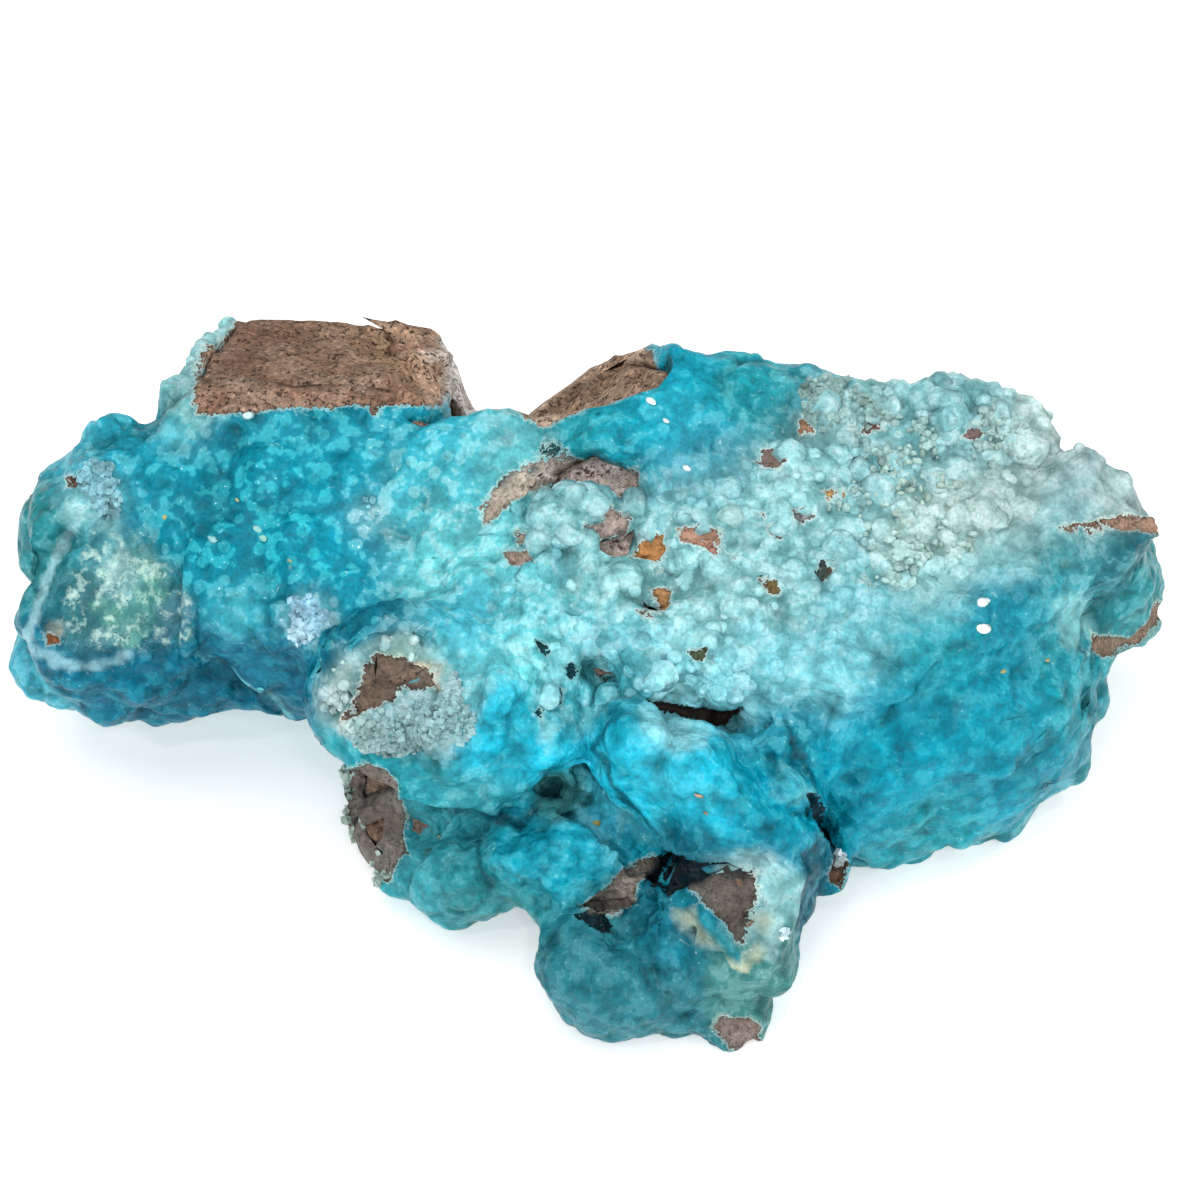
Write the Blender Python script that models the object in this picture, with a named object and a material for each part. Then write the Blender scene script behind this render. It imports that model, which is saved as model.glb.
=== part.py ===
"""Smithsonite specimen: a botryoidal blue-green crust grown over a broken block of brown host rock.

Two pieces: the host rock, and the crust that coats it. Both start from the same rounded masses. The masses that have
a rocky core give the rock, sunk by the thickness of the crust. All of the masses together, studded with domes, give
the outside of the crust, and the rock is then cut out of it. Fractures break both along the same faces, so that each
broken face shows the crust as a rim around the rock. Sizes are in mm, and the last step scales them to metres.
"""

import math
from collections import namedtuple

import bmesh
import bpy
import numpy as np
from mathutils import Euler, Matrix, Vector, noise

MM = 0.001

CRUST = 2.6  # thickness of the crust over the rock
GAP = 0.35  # clearance between the crust and the rock, which are two solids
GRID = 1.2  # grid that fuses the masses
FINE_GRID = 0.8  # grid that keeps the domes and the broken edges
DOME_SPACING = 8.0  # least distance between the domes of the crust
DOME_RADIUS = (3.8, 6.4)
DOME_SINK = 0.7  # how far the middle of a dome lies below the skin, in radii
CRUST_FACETS = 5200
ROCK_FACETS = 1500
CRUST_COLOUR = (0.085, 0.42, 0.50, 1)
ROCK_COLOUR = (0.22, 0.15, 0.11, 1)

# A plate: plan outline, the height of its top at the middle of the outline, how far the top rises per mm along X
# and Y, and the height of its underside.
Plate = namedtuple("Plate", "outline top rise_x rise_y bottom")

# A rounded mass: centre and half-sizes, its tilt in degrees (raising the back), its turn about Z, its roll (raising
# the right), and how boxy it is: 2 is an ellipsoid, 4 nearly a block.
Lump = namedtuple("Lump", "centre half tilt turn roll boxy", defaults=(0, 0, 0, 2.0))

# A broken face: a point on it, its tilt, turn and roll as for a lump, its half-width and half-depth, and its relief.
# What stands above the face is gone.
Fracture = namedtuple("Fracture", "point tilt turn roll half_x half_y relief", defaults=(0.8,))

PLATES = {
    "plateau": Plate(
        [(-4, 14), (2, 19), (7, 30), (18, 28), (31, 26), (37, 25), (54, 26), (64, 22), (70, 15), (71, 7), (62, 1)]
        + [(49, -7), (39, -14), (31, -16), (19, -13.5), (8, -13.5), (0, -13), (-6, -6), (-8, 4)],
        42.6, -0.08, 0.32, 14,
    ),
    "left field": Plate(
        [(-5, 18), (-12, 22), (-16, 32), (-26, 46), (-40, 50), (-47, 49), (-52, 36), (-53, 26), (-57, 21), (-65, 18)]
        + [(-71, 13), (-68, 8), (-58, 4), (-49, -1), (-40, -5), (-30, -5), (-19, -3), (-8, 2), (0, 8)],
        42.0, 0.08, 0.42, 20,
    ),
}
CORED = {
    "apron": Lump((41, -3.5, 13.5), (26, 15.5, 18), 0, 14, 0, 2.6),
    "middle": Lump((4, 10, 16), (38, 24, 22), 10, 0, 0, 2.6),
    "left root": Lump((-28, 22, 11), (26, 17, 15), 0, 0, 0, 2.6),
    "back": Lump((-34, 33, 16), (19, 20, 26), 0, 0, 0, 3.0),
    "mid back": Lump((3, 26, 24), (13, 11, 26), 0, 0, 0, 2.6),
    "front root": Lump((4, -13, 6), (21, 14, 13), 0, 0, 0, 2.4),
    "front left root": Lump((-20, -12, 9), (11, 12, 12), 0, 0, 0, 2.4),
    "centre knob core": Lump((-25, -11, 28), (10, 8, 16), 0, 0, -6, 2.4),
    "foot knob core": Lump((17, -33, 11), (9, 8.5, 14), 0, 0, 0, 2.4),
    "notch": Lump((-9, 27, 39), (10, 8, 9)),
    "foot tip": Lump((18, -40, 3), (5, 4.5, 5)),
}
LOBES = {
    "left tip": Lump((-64, 16, 27), (10, 11, 10)),
    "left shoulder": Lump((-58, 21, 34), (9, 7, 8)),
    "left knob": Lump((-59, 6, 28), (12, 12, 13), 0, 0, 0, 2.8),
    "left flank": Lump((-57, 6, 15), (18, 9, 8)),
    "wedge": Lump((-38, 5, 19), (17, 10, 9)),
    "saddle": Lump((-9, -3, 32), (12, 9, 8)),
    "blob": Lump((-35, 2, 33), (4.5, 5, 5)),
    "centre knob": Lump((-18, -12, 26), (15, 11, 14), 0, 0, -10, 2.6),
    "knob ridge": Lump((-5, -13, 27), (4, 9, 9)),
    "fist": Lump((14, -22, 23.5), (18, 6.5, 8), 0, -20, -29),
    "thumb": Lump((25, -16, 22), (7, 7.5, 9.5)),
    "shelf": Lump((-3, -24, 14.5), (13, 7, 6.5), 0, 8, 0),
    "low left": Lump((-14, -20, 8), (12, 10, 8)),
    "foot": Lump((4, -35, 7), (10, 11, 8), 0, 0, 0, 2.4),
    "foot toe": Lump((9, -38, 5), (8, 6, 6)),
    "foot knob": Lump((16.5, -33, 11), (10, 9.5, 13), 0, 0, 0, 2.4),
    "small bit": Lump((29, -24, 11), (4, 4, 5)),
    "side": Lump((66, 14, 20), (9, 9, 10), 0, 0, 0, 2.4),
}
HOLLOWS = {
    "under the fist": Lump((5, -24.5, 17), (13, 3.2, 4), 0, -27, -18),
    "under the knob": Lump((-18, -27, 19), (8, 6, 3), 0, 0, 10),
    "under the thumb": Lump((11, -30, 17), (5, 2.5, 3)),
    "beside the foot": Lump((3, -32, 14), (5, 2.5, 4)),
    "behind the fist": Lump((15, -15, 31), (9, 2.6, 4), 0, -8, -12),
    "beside the thumb": Lump((31.5, -22.5, 18), (2.2, 5, 9)),
    "left of the knob": Lump((-37, -8, 26), (3, 4, 7)),
}
FRACTURES = {
    "back slope": Fracture((-33, 28, 43.8), -22, 0, 0, 26, 26),
    "back end": Fracture((-33, 48, 25), -84, 0, 0, 30, 30),
    "notch flank": Fracture((-21.5, 38, 38), -20, -15, -50, 14, 18),
    "mid back slope": Fracture((0, 29, 43.5), -20, 0, 14, 11, 12),
    "left knob face": Fracture((-61.5, 4, 32), 42, 0, -6, 11, 13),
    "centre knob face": Fracture((-23, -14, 37.8), 32, -10, -14, 11, 9),
    "foot knob face": Fracture((17, -36, 18), 42, 0, 0, 8, 8),
    "foot tip face": Fracture((19, -43, 4), 60, 0, 0, 4, 4, 0.4),
    "left rock face": Fracture((-25, -17, 10), 50, -50, 0, 9, 9),
    "side rock face": Fracture((69, 19, 29.5), -8, 0, 4, 8, 5),
}
WINDOWS = {
    "arc left": Lump((-6, 7, 44), (5.5, 3, 4), 0, 35, 0, 2.4),
    "arc middle": Lump((-1, 11, 45), (4.5, 3, 4), 0, 0, 0, 2.4),
    "arc right": Lump((5, 10, 45), (4.5, 2.6, 4), 0, -25, 0, 2.4),
    "near arc": Lump((3.5, 3, 43), (3, 3, 4), 0, 0, 0, 2.4),
    "rim": Lump((8.5, -4, 41), (2, 3.4, 4), 0, 0, 0, 2.4),
}


def linked(name, mesh):
    made = bpy.data.objects.new(name, mesh)
    bpy.context.collection.objects.link(made)
    return made


def from_bmesh(name, bm):
    """Turns bm into an object whose faces point out."""
    bmesh.ops.recalc_face_normals(bm, faces=bm.faces)
    mesh = bpy.data.meshes.new(name)
    bm.to_mesh(mesh)
    bm.free()
    return linked(name, mesh)


def surface(name, colour, roughness):
    material = bpy.data.materials.new(name)
    material.use_nodes = True
    shader = material.node_tree.nodes["Principled BSDF"]
    shader.inputs["Base Color"].default_value = colour
    shader.inputs["Roughness"].default_value = roughness
    shader.inputs["Metallic"].default_value = 0
    return material


def turned(shape):
    """The rotation of a lump or a fracture."""
    return Euler([math.radians(a) for a in (shape.tilt, -shape.roll, shape.turn)]).to_matrix()


def add_plate(bm, plate):
    """A prism on the outline, with a sloping top."""
    mid = np.mean(plate.outline, axis=0)
    foot = [bm.verts.new((x, y, plate.bottom)) for x, y in plate.outline]
    top = [
        bm.verts.new((x, y, plate.top + plate.rise_x * (x - mid[0]) + plate.rise_y * (y - mid[1])))
        for x, y in plate.outline
    ]
    bm.faces.new(foot)
    bm.faces.new(top[::-1])
    for i in range(len(foot)):
        bm.faces.new((foot[i - 1], top[i - 1], top[i], foot[i]))


def add_lump(bm, lump):
    """A sphere whose points move out until the sum of their coordinates, each to the power boxy, is 1."""
    for vert in bmesh.ops.create_icosphere(bm, subdivisions=4, radius=1)["verts"]:
        reach = sum(abs(c) ** lump.boxy for c in vert.co) ** (1 / lump.boxy)
        scaled = Vector([c / reach * side for c, side in zip(vert.co, lump.half)])
        vert.co = turned(lump) @ scaled + Vector(lump.centre)


def masses(name, lumps, plates=()):
    """One object with these plates and lumps, not yet fused."""
    bm = bmesh.new()
    for plate in plates:
        add_plate(bm, plate)
    for lump in lumps:
        add_lump(bm, lump)
    return from_bmesh(name, bm)


def fracture_block(name, fracture):
    """A block above the broken face, whose underside is the face with its relief."""
    bm = bmesh.new()
    bmesh.ops.create_grid(bm, x_segments=8, y_segments=8, size=1)
    for vert in bm.verts:
        vert.co.x *= fracture.half_x
        vert.co.y *= fracture.half_y
        vert.co.z = fracture.relief * noise.noise(vert.co / 7 + Vector(fracture.point))
    lid = bmesh.ops.extrude_face_region(bm, geom=bm.faces[:])["geom"]
    bmesh.ops.translate(bm, verts=[v for v in lid if isinstance(v, bmesh.types.BMVert)], vec=(0, 0, 30))
    for vert in bm.verts:
        vert.co = turned(fracture) @ vert.co + Vector(fracture.point)
    bmesh.ops.triangulate(bm, faces=bm.faces[:])
    return from_bmesh(name, bm)


def keep_largest(obj):
    """Drops every loose crumb of obj and keeps its largest part."""
    bm = bmesh.new()
    bm.from_mesh(obj.data)
    left = set(bm.verts)
    parts = []
    while left:
        part = {left.pop()}
        front = list(part)
        while front:
            vert = front.pop()
            near = {edge.other_vert(vert) for edge in vert.link_edges} - part
            part |= near
            front += near
        left -= part
        parts.append(part)
    parts.sort(key=len)
    for part in parts[:-1]:
        bmesh.ops.delete(bm, geom=list(part), context="VERTS")
    bm.to_mesh(obj.data)
    bm.free()


def base_block(name):
    """A block below the plane the specimen stands on."""
    bm = bmesh.new()
    bmesh.ops.create_cube(bm, size=1, matrix=Matrix.Translation((0, 0, -20)) @ Matrix.Diagonal((200, 200, 40, 1)))
    return from_bmesh(name, bm)


def settle(obj):
    """Applies the modifiers of obj."""
    bpy.context.view_layer.update()
    graph = bpy.context.evaluated_depsgraph_get()
    obj.data = bpy.data.meshes.new_from_object(obj.evaluated_get(graph))
    obj.modifiers.clear()


def fuse(obj, grid, rounds):
    """Joins overlapping shapes into one skin on a grid, then relaxes it."""
    step = obj.modifiers.new("Fuse", "REMESH")
    step.mode = "VOXEL"
    step.voxel_size = grid
    relax = obj.modifiers.new("Relax", "SMOOTH")
    relax.factor = 0.5
    relax.iterations = rounds
    settle(obj)


def as_cutter(obj):
    """Marks a helper shape that only cuts the others."""
    obj.hide_render = True
    obj.display_type = "WIRE"
    return obj


def swell(obj, distance):
    """Moves the skin of obj out along its normals."""
    step = obj.modifiers.new("Swell", "DISPLACE")
    step.mid_level = 0
    step.strength = distance
    settle(obj)


def facet(obj, count):
    """Reduces obj to about count triangles."""
    triangles = 2 * len(obj.data.polygons)
    step = obj.modifiers.new("Facet", "DECIMATE")
    step.ratio = count / triangles
    step.use_collapse_triangulate = True
    settle(obj)


def cut(obj, cutter):
    step = obj.modifiers.new("Cut", "BOOLEAN")
    step.operation = "DIFFERENCE"
    step.object = cutter
    obj.modifiers.new("Weld", "WELD").merge_threshold = 0.0001
    obj.modifiers.new("Facets", "TRIANGULATE")
    settle(obj)


def stud(obj):
    """Adds domes, each at least DOME_SPACING from the next, over the whole skin of obj."""
    picker = np.random.default_rng(5)
    places = np.array([v.co for v in obj.data.vertices])
    normals = np.array([v.normal for v in obj.data.vertices])
    order = picker.permutation(len(places))
    kept = []
    for i in order:
        if all(np.linalg.norm(places[kept] - places[i], axis=1) > DOME_SPACING) if kept else True:
            kept.append(i)
    bm = bmesh.new()
    bm.from_mesh(obj.data)
    for i in kept:
        radius = picker.uniform(*DOME_RADIUS)
        centre = Vector(places[i] - normals[i] * radius * DOME_SINK)
        bmesh.ops.create_icosphere(bm, subdivisions=2, radius=radius, matrix=Matrix.Translation(centre))
    bm.to_mesh(obj.data)
    bm.free()


def main():
    for obj in list(bpy.data.objects):
        bpy.data.objects.remove(obj)
    breaks = [as_cutter(fracture_block(name, fracture)) for name, fracture in FRACTURES.items()]
    pits = as_cutter(masses("pits", [*HOLLOWS.values(), *WINDOWS.values()]))
    fuse(pits, FINE_GRID, 1)

    crust = masses("smithsonite_crust", [*CORED.values(), *LOBES.values()], PLATES.values())
    fuse(crust, GRID, 24)
    stud(crust)
    fuse(crust, FINE_GRID, 1)
    for cutter in breaks:
        cut(crust, cutter)
    fuse(crust, FINE_GRID, 1)
    cut(crust, pits)
    fuse(crust, FINE_GRID, 1)
    facet(crust, CRUST_FACETS)

    rock = masses("matrix", CORED.values(), PLATES.values())
    fuse(rock, GRID, 12)
    for step in range(3):
        swell(rock, -CRUST / 3)
        fuse(rock, GRID, 2)
    for cutter in breaks:
        cut(rock, cutter)
    fuse(rock, FINE_GRID, 1)
    facet(rock, ROCK_FACETS)
    hollow = as_cutter(linked("hollow", rock.data.copy()))
    swell(hollow, GAP)
    cut(crust, hollow)
    base = as_cutter(base_block("base"))
    cut(crust, base)
    cut(rock, base)
    keep_largest(crust)
    keep_largest(rock)
    for cutter in [hollow, pits, base] + breaks:
        bpy.data.objects.remove(cutter)

    corners = np.array([v.co for piece in (crust, rock) for v in piece.data.vertices])
    middle = (corners.min(axis=0) + corners.max(axis=0)) / 2
    to_origin = Matrix.Scale(MM, 4) @ Matrix.Translation((-middle[0], -middle[1], 0))
    for piece, colour, roughness in ((crust, CRUST_COLOUR, 0.3), (rock, ROCK_COLOUR, 0.85)):
        piece.data.transform(to_origin)
        piece.data.shade_smooth()
        piece.data.set_sharp_from_angle(angle=math.radians(55))
        piece.data.materials.append(surface(piece.name, colour, roughness))


main()
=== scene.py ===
import math
from collections import namedtuple

import bmesh
import bpy
import numpy as np
from mathutils import Matrix, Vector
from mathutils.bvhtree import BVHTree


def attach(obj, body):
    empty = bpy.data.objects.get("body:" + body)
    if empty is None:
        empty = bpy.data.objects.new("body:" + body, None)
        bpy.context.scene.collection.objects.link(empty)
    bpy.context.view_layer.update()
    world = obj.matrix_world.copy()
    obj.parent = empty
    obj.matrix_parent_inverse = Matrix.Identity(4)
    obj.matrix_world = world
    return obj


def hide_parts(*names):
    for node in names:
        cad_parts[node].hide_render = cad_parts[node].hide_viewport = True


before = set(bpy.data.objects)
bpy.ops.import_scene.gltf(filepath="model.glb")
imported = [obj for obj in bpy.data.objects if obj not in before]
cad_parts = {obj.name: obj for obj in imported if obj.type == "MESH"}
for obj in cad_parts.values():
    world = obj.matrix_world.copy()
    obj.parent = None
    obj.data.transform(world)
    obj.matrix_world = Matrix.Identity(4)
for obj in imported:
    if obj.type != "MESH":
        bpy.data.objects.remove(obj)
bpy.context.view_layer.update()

# ---- The crust -----------------------------------------------------------------------------------
# Blue-green smithsonite, laid down from water as a skin of grown-together balls, 2 to 3 mm thick. It is clear
# and deep in colour where it is thick and even, and milky where it ends in a crowd of small grapes.

MM = 0.001
JOIN = 1e-6  # m, points nearer than this are one
CRUST_GRID = 0.46  # mm between the points of the skin
CRUST_SHOWN = 190000  # triangles
INSIDE_FIRST = 8  # how strongly the thinning takes the inside wall first
TEAR_WIDTH = 2.2
EDGE_TEAR = 0.9  # how far the broken edges wander, mm
ROCK_REACH = 3.0  # how near the rock the crust has to be to be torn, mm
ROCK_TOUCH = 0.4  # how near the rock the inside wall lies, mm
BROAD_BALL = 8.5  # mm from one broad ball of the skin to the next
PEA_BALL = 3.4
GRAPE_BALL = 3.2
BEAD_BALL = 1.5
BALL_RADIUS = (0.6, 0.4)  # of the spacing: the least radius, and how much more the largest has
BROAD_RISE = 1.6  # mm that the balls stand out
PEA_RISE = 0.85
GRAPE_RISE = 1.15
BEAD_RISE = (0.2, 0.28)  # between the peas, and between the grapes
WAVE_WIDTH = 12  # mm, the broad unevenness under all of them
WAVE_RISE = 0.35
CALM = 0.85  # of the balls, how much a calm zone loses
BARE_CALM = 0.7  # of the balls, how much a break loses
LIP_RISE = 0.25  # mm that the skin stands out along the edge of a break
INSIDE = (0.6, 0.9)  # nearness to the rock at which the inside wall begins, and from which it is whole
TORN = (0.05, 0.6)  # the same for the tearing of the edges

# The viewpoint that the places on the crust are given from: a long lens, high above the front. A place is a
# column and a row of a frame 1200 wide and high.
FRAME_SIZE = 1200
LENS = 100.0
SENSOR = 36.0
VIEW_DISTANCE = 433.333  # mm
VIEW_RISE = 50.0  # degrees
VIEW_AIM = Vector((1.266, 9.039, 20.0))

view_back = Vector((0, -math.cos(math.radians(VIEW_RISE)), math.sin(math.radians(VIEW_RISE))))
view_up = Vector((0, math.sin(math.radians(VIEW_RISE)), math.cos(math.radians(VIEW_RISE))))
view_point = VIEW_AIM + view_back * VIEW_DISTANCE

# The colours of the skin, from the deepest to the palest.
HUES = {
    "ink": "#08566A",
    "night blue": "#026883",
    "slate": "#206973",
    "sea": "#03778F",
    "bottle": "#24737F",
    "blue teal": "#02839A",
    "grey teal": "#40777E",
    "olive teal": "#3F817F",
    "moss teal": "#27878F",
    "teal": "#0B8DA4",
    "bright teal": "#0397B2",
    "green teal": "#1D97A5",
    "steel": "#349BA8",
    "cyan": "#12A5BE",
    "pale steel": "#40A7B5",
    "vivid cyan": "#1ABCD9",
    "sky": "#42B6CC",
    "buff": "#B5A496",
    "fern": "#6EB7B9",
    "grey powder": "#8FB2B7",
    "lake": "#4CC3D2",
    "powder": "#80BEC4",
    "aqua": "#66C6CF",
    "pale aqua": "#7ACCD7",
    "ice": "#8AC9CD",
    "sage": "#ACCABA",
    "chalk": "#B2CAC6",
    "light aqua": "#72DEE5",
    "pearl": "#A9D3D2",
    "frost": "#9AD7DB",
    "cream": "#BEDCD6",
    "lime white": "#DADCD6",
    "white blue": "#A2F0F8",
    "milk": "#C9EDE9",
}

# A zone of the crust: where its middle is seen, how far it reaches in mm, its colour by name, how much of it
# is clouded with paler balls, and how far its skin is broken up into grapes, or calm if that is below 0.
Zone = namedtuple("Zone", "column row reach colour cloud grape", defaults=(0.4, 0.2))
ZONES = {
    "far edge left": Zone(180, 412, 3.5, "fern"),
    "pale square": Zone(165, 432, 2.0, "vivid cyan"),
    "field far left": Zone(120, 450, 5, "cyan", 0.7),
    "field left": Zone(150, 490, 6, "teal", 0.7),
    "field back": Zone(300, 430, 7, "teal", 0.7),
    "field back right": Zone(430, 425, 6, "cyan", 0.8),
    "field heart": Zone(235, 480, 7, "blue teal", 0.8),
    "field heart right": Zone(330, 480, 7, "bright teal", 0.9),
    "field druse": Zone(368, 515, 2.2, "ice", 0.9),
    "field low left": Zone(245, 560, 6, "blue teal", 0.8),
    "field low": Zone(330, 560, 7, "bright teal", 0.9),
    "field right": Zone(430, 480, 6, "lake", 0.9),
    "field pale": Zone(505, 445, 5, "aqua", 0.5, 0.4),
    "field pale low": Zone(450, 560, 6, "light aqua", 0.7, 0.4),
    "field foot": Zone(370, 610, 5, "sea", 0.8),
    "pale oval": Zone(240, 612, 2.6, "lake", 0.3),
    "blue white blob": Zone(308, 612, 2.4, "powder", 0.9, 0.5),
    "left tip": Zone(35, 520, 5, "moss teal", 0.5),
    "left shoulder": Zone(80, 450, 4, "sky", 0.6),
    "sugary shoulder": Zone(95, 495, 3.2, "ice", 0.9, 0.8),
    "left face top": Zone(97, 548, 2.2, "steel", 0.2, -0.7),
    "left face peak": Zone(106, 524, 1.4, "frost", 0.3, -0.5),
    "left face left": Zone(75, 590, 2.6, "slate", 0.2, -0.7),
    "left face pale": Zone(118, 560, 1.8, "pearl", 0.3, -0.6),
    "left face middle": Zone(105, 592, 2.4, "grey teal", 0.5, -0.7),
    "left face green": Zone(138, 585, 2.6, "fern", 0.4, -0.6),
    "left face green low": Zone(125, 622, 2.4, "grey teal", 0.6, -0.6),
    "left face right": Zone(172, 610, 3.2, "bottle", 0.3, -0.6),
    "left face low": Zone(88, 636, 2.4, "grey teal", 0.4, -0.7),
    "left face low right": Zone(150, 640, 2.0, "ink", 0.5, -0.5),
    "left flank end": Zone(35, 680, 3.5, "sky", 0.4),
    "left flank": Zone(110, 690, 6, "night blue", 0.3),
    "left flank right": Zone(190, 690, 5, "night blue", 0.3),
    "wedge": Zone(255, 665, 6, "night blue", 0.2, -0.35),
    "wedge edge": Zone(240, 690, 1.5, "night blue", 0.2),
    "wedge foot": Zone(300, 710, 4, "night blue", 0.3),
    "saddle left": Zone(460, 620, 5, "sky", 0.6, 0.3),
    "saddle": Zone(540, 600, 5, "aqua", 0.6, 0.6),
    "saddle right": Zone(600, 640, 4, "pale aqua", 0.6, 0.8),
    "notch crust": Zone(520, 397, 3, "chalk", 0.5, 0.5),
    "mid back foot": Zone(580, 432, 4, "green teal", 0.5),
    "upper right edge": Zone(680, 362, 4, "bright teal", 0.3),
    "upper right": Zone(640, 420, 6, "cyan", 0.5),
    "upper right far": Zone(760, 385, 6, "green teal", 0.5),
    "upper right low": Zone(700, 450, 5, "bright teal", 0.4, 0.1),
    "upper right end": Zone(820, 380, 4, "pale steel", 0.6, 0.2),
    "far druse": Zone(840, 412, 4, "pearl", 0.8, 1.0),
    "plateau left": Zone(560, 510, 5, "powder", 0.5, 1.0),
    "plateau near arc": Zone(620, 570, 5, "ice", 0.5, 1.0),
    "plateau middle": Zone(710, 500, 6, "powder", 0.5, 1.0),
    "plateau front": Zone(720, 580, 6, "frost", 0.5, 1.0),
    "plateau heart": Zone(800, 490, 6, "frost", 0.5, 1.0),
    "plateau heart front": Zone(800, 570, 6, "powder", 0.5, 1.0),
    "plateau cream": Zone(880, 470, 6, "powder", 0.5, 1.0),
    "plateau cream front": Zone(930, 530, 5, "cream", 0.5, 1.0),
    "plateau far right": Zone(980, 430, 6, "powder", 0.5, 1.0),
    "plateau right edge": Zone(1045, 430, 5, "cream", 0.5, 0.6),
    "plateau right": Zone(1000, 490, 6, "chalk", 0.5, 0.6),
    "plateau right end": Zone(1085, 470, 5, "grey powder", 0.5, 0.45),
    "plateau right tip": Zone(1115, 495, 3, "milk", 0.4, 0.3),
    "plateau right front": Zone(1060, 520, 4, "powder", 0.4, 0.35),
    "rim left": Zone(620, 665, 4, "pale steel", 0.5, 0.9),
    "rim near left": Zone(690, 665, 4, "white blue", 0.4, 0.8),
    "rim middle": Zone(760, 670, 5, "pale aqua", 0.4, 0.7),
    "rim near right": Zone(830, 685, 4, "pale aqua", 0.4, 0.5),
    "rim right": Zone(860, 630, 5, "pale aqua", 0.4, 0.7),
    "rim far right": Zone(935, 585, 4, "frost", 0.3, 0.5),
    "rim end": Zone(1000, 555, 3.5, "ice", 0.3, 0.4),
    "rim tail": Zone(1060, 545, 3, "moss teal", 0.3, 0.3),
    "apron top": Zone(930, 650, 6, "green teal", 0.28, -0.1),
    "apron top right": Zone(1000, 615, 5, "blue teal", 0.3, 0.1),
    "apron shoulder": Zone(1065, 610, 5, "steel", 0.5, 0.1),
    "apron": Zone(890, 740, 8, "bright teal", 0.28, -0.25),
    "apron right": Zone(1000, 710, 8, "teal", 0.28, -0.25),
    "apron edge": Zone(1070, 690, 5, "green teal", 0.5, 0.1),
    "apron low left": Zone(860, 810, 5, "blue teal", 0.28, -0.2),
    "apron low": Zone(930, 825, 5, "green teal", 0.28, -0.2),
    "apron low right": Zone(1010, 780, 5, "teal", 0.28, -0.2),
    "side lobe": Zone(1130, 560, 4, "slate", 0.5, -0.2),
    "side lobe low": Zone(1125, 605, 4, "moss teal", 0.4, -0.2),
    "knob back": Zone(470, 665, 4, "aqua", 0.5, 0.3),
    "knob side": Zone(540, 660, 3.5, "light aqua", 0.6, 0.7),
    "knob ring left": Zone(352, 700, 2.4, "grey powder", 0.8, 1.0),
    "knob ring back": Zone(405, 652, 2.4, "sage", 0.8, 0.9),
    "knob ring front": Zone(425, 728, 3.0, "grey powder", 0.9, 1.0),
    "knob ring right": Zone(465, 700, 2.4, "pale aqua", 0.7, 0.7),
    "knob front": Zone(400, 775, 4.5, "green teal", 0.4, -0.2),
    "knob cheek": Zone(510, 740, 5.0, "vivid cyan", 0.3, -0.35),
    "knob chin": Zone(480, 795, 4.0, "steel", 0.4, -0.3),
    "knob ridge": Zone(560, 700, 3.0, "pale steel", 0.6, 0.6),
    # Painted highlight along the ridge of the fist.
    "fist ridge highlight": Zone(670, 728, 2.6, "white blue", 0.4, 0.3),
    "fist left": Zone(620, 715, 3.0, "teal", 0.3, -0.35),
    "fist": Zone(640, 775, 5.0, "vivid cyan", 0.3, -0.35),
    "fist middle": Zone(710, 795, 5.0, "vivid cyan", 0.3, -0.35),
    "fist right": Zone(765, 780, 5.0, "bright teal", 0.5, -0.2),
    "thumb": Zone(795, 735, 4.0, "blue teal", 0.6, 0.2),
    "fist foot": Zone(690, 842, 3.2, "ink", 0.3, -0.3),
    "fist foot right": Zone(758, 838, 3.0, "sea", 0.3, -0.2),
    "shelf": Zone(530, 850, 5.0, "cyan", 0.4, -0.15),
    "shelf top": Zone(600, 825, 3.5, "sky", 0.4, 0.3),
    "shelf right": Zone(640, 850, 3.0, "cyan", 0.4, 0.3),
    "low left": Zone(430, 850, 5.0, "steel", 0.25, 0.15),
    "low left foot": Zone(495, 900, 5.0, "moss teal", 0.25, 0.2),
    "foot": Zone(600, 965, 6.0, "bottle", 0.22, -0.15),
    "foot toe": Zone(650, 1010, 5.0, "bottle", 0.22, 0.1),
    "scrap of crust": Zone(316, 740, 1.6, "grey powder", 0.4, 0.5),
    "olive hollow": Zone(560, 805, 2.4, "olive teal", 0.2, 0.2),
    "foot knob inside": Zone(665, 930, 4.0, "sea", 0.3, 0.2),
    "foot knob ring": Zone(765, 900, 2.4, "ice", 0.6, 0.4),
    "foot knob top": Zone(750, 865, 2.0, "pearl", 0.6, 0.4),
    "foot knob crack": Zone(725, 965, 1.8, "olive teal", 0.4, 0.3),
    "foot knob front": Zone(740, 995, 3.0, "olive teal", 0.3, 0.1),
    "foot knob right": Zone(780, 955, 2.5, "olive teal", 0.5, 0.4),
    "small bit": Zone(815, 870, 3.0, "ink", 0.4, 0.3),
    "back tiles low": Zone(198, 372, 3.0, "frost", 0.6, 0.6),
    "back tiles": Zone(222, 332, 3.0, "frost", 0.6, 0.6),
    "white flank": Zone(438, 352, 4.0, "buff", 0.2, 0.1),
    "white flank low": Zone(462, 388, 3.0, "lime white", 0.2, 0.1),
    "yellow stain": Zone(725, 515, 0.8, "sage", 0.1, 1.0),
    "yellow stain far": Zone(830, 497, 0.9, "sage", 0.1, 1.0),
    "yellow stain front": Zone(700, 655, 0.8, "sage", 0.1, 1.0),
    "yellow stain right": Zone(925, 500, 0.9, "sage", 0.1, 1.0),
}
HIDDEN = ("#3E9BA5", 0.4, 0.3)  # colour, cloud and grape of the sides that face away
HIDDEN_SHARE = 1e-4  # so little that it shows only where no zone reaches
ZONE_SPREAD = 0.95

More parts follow.
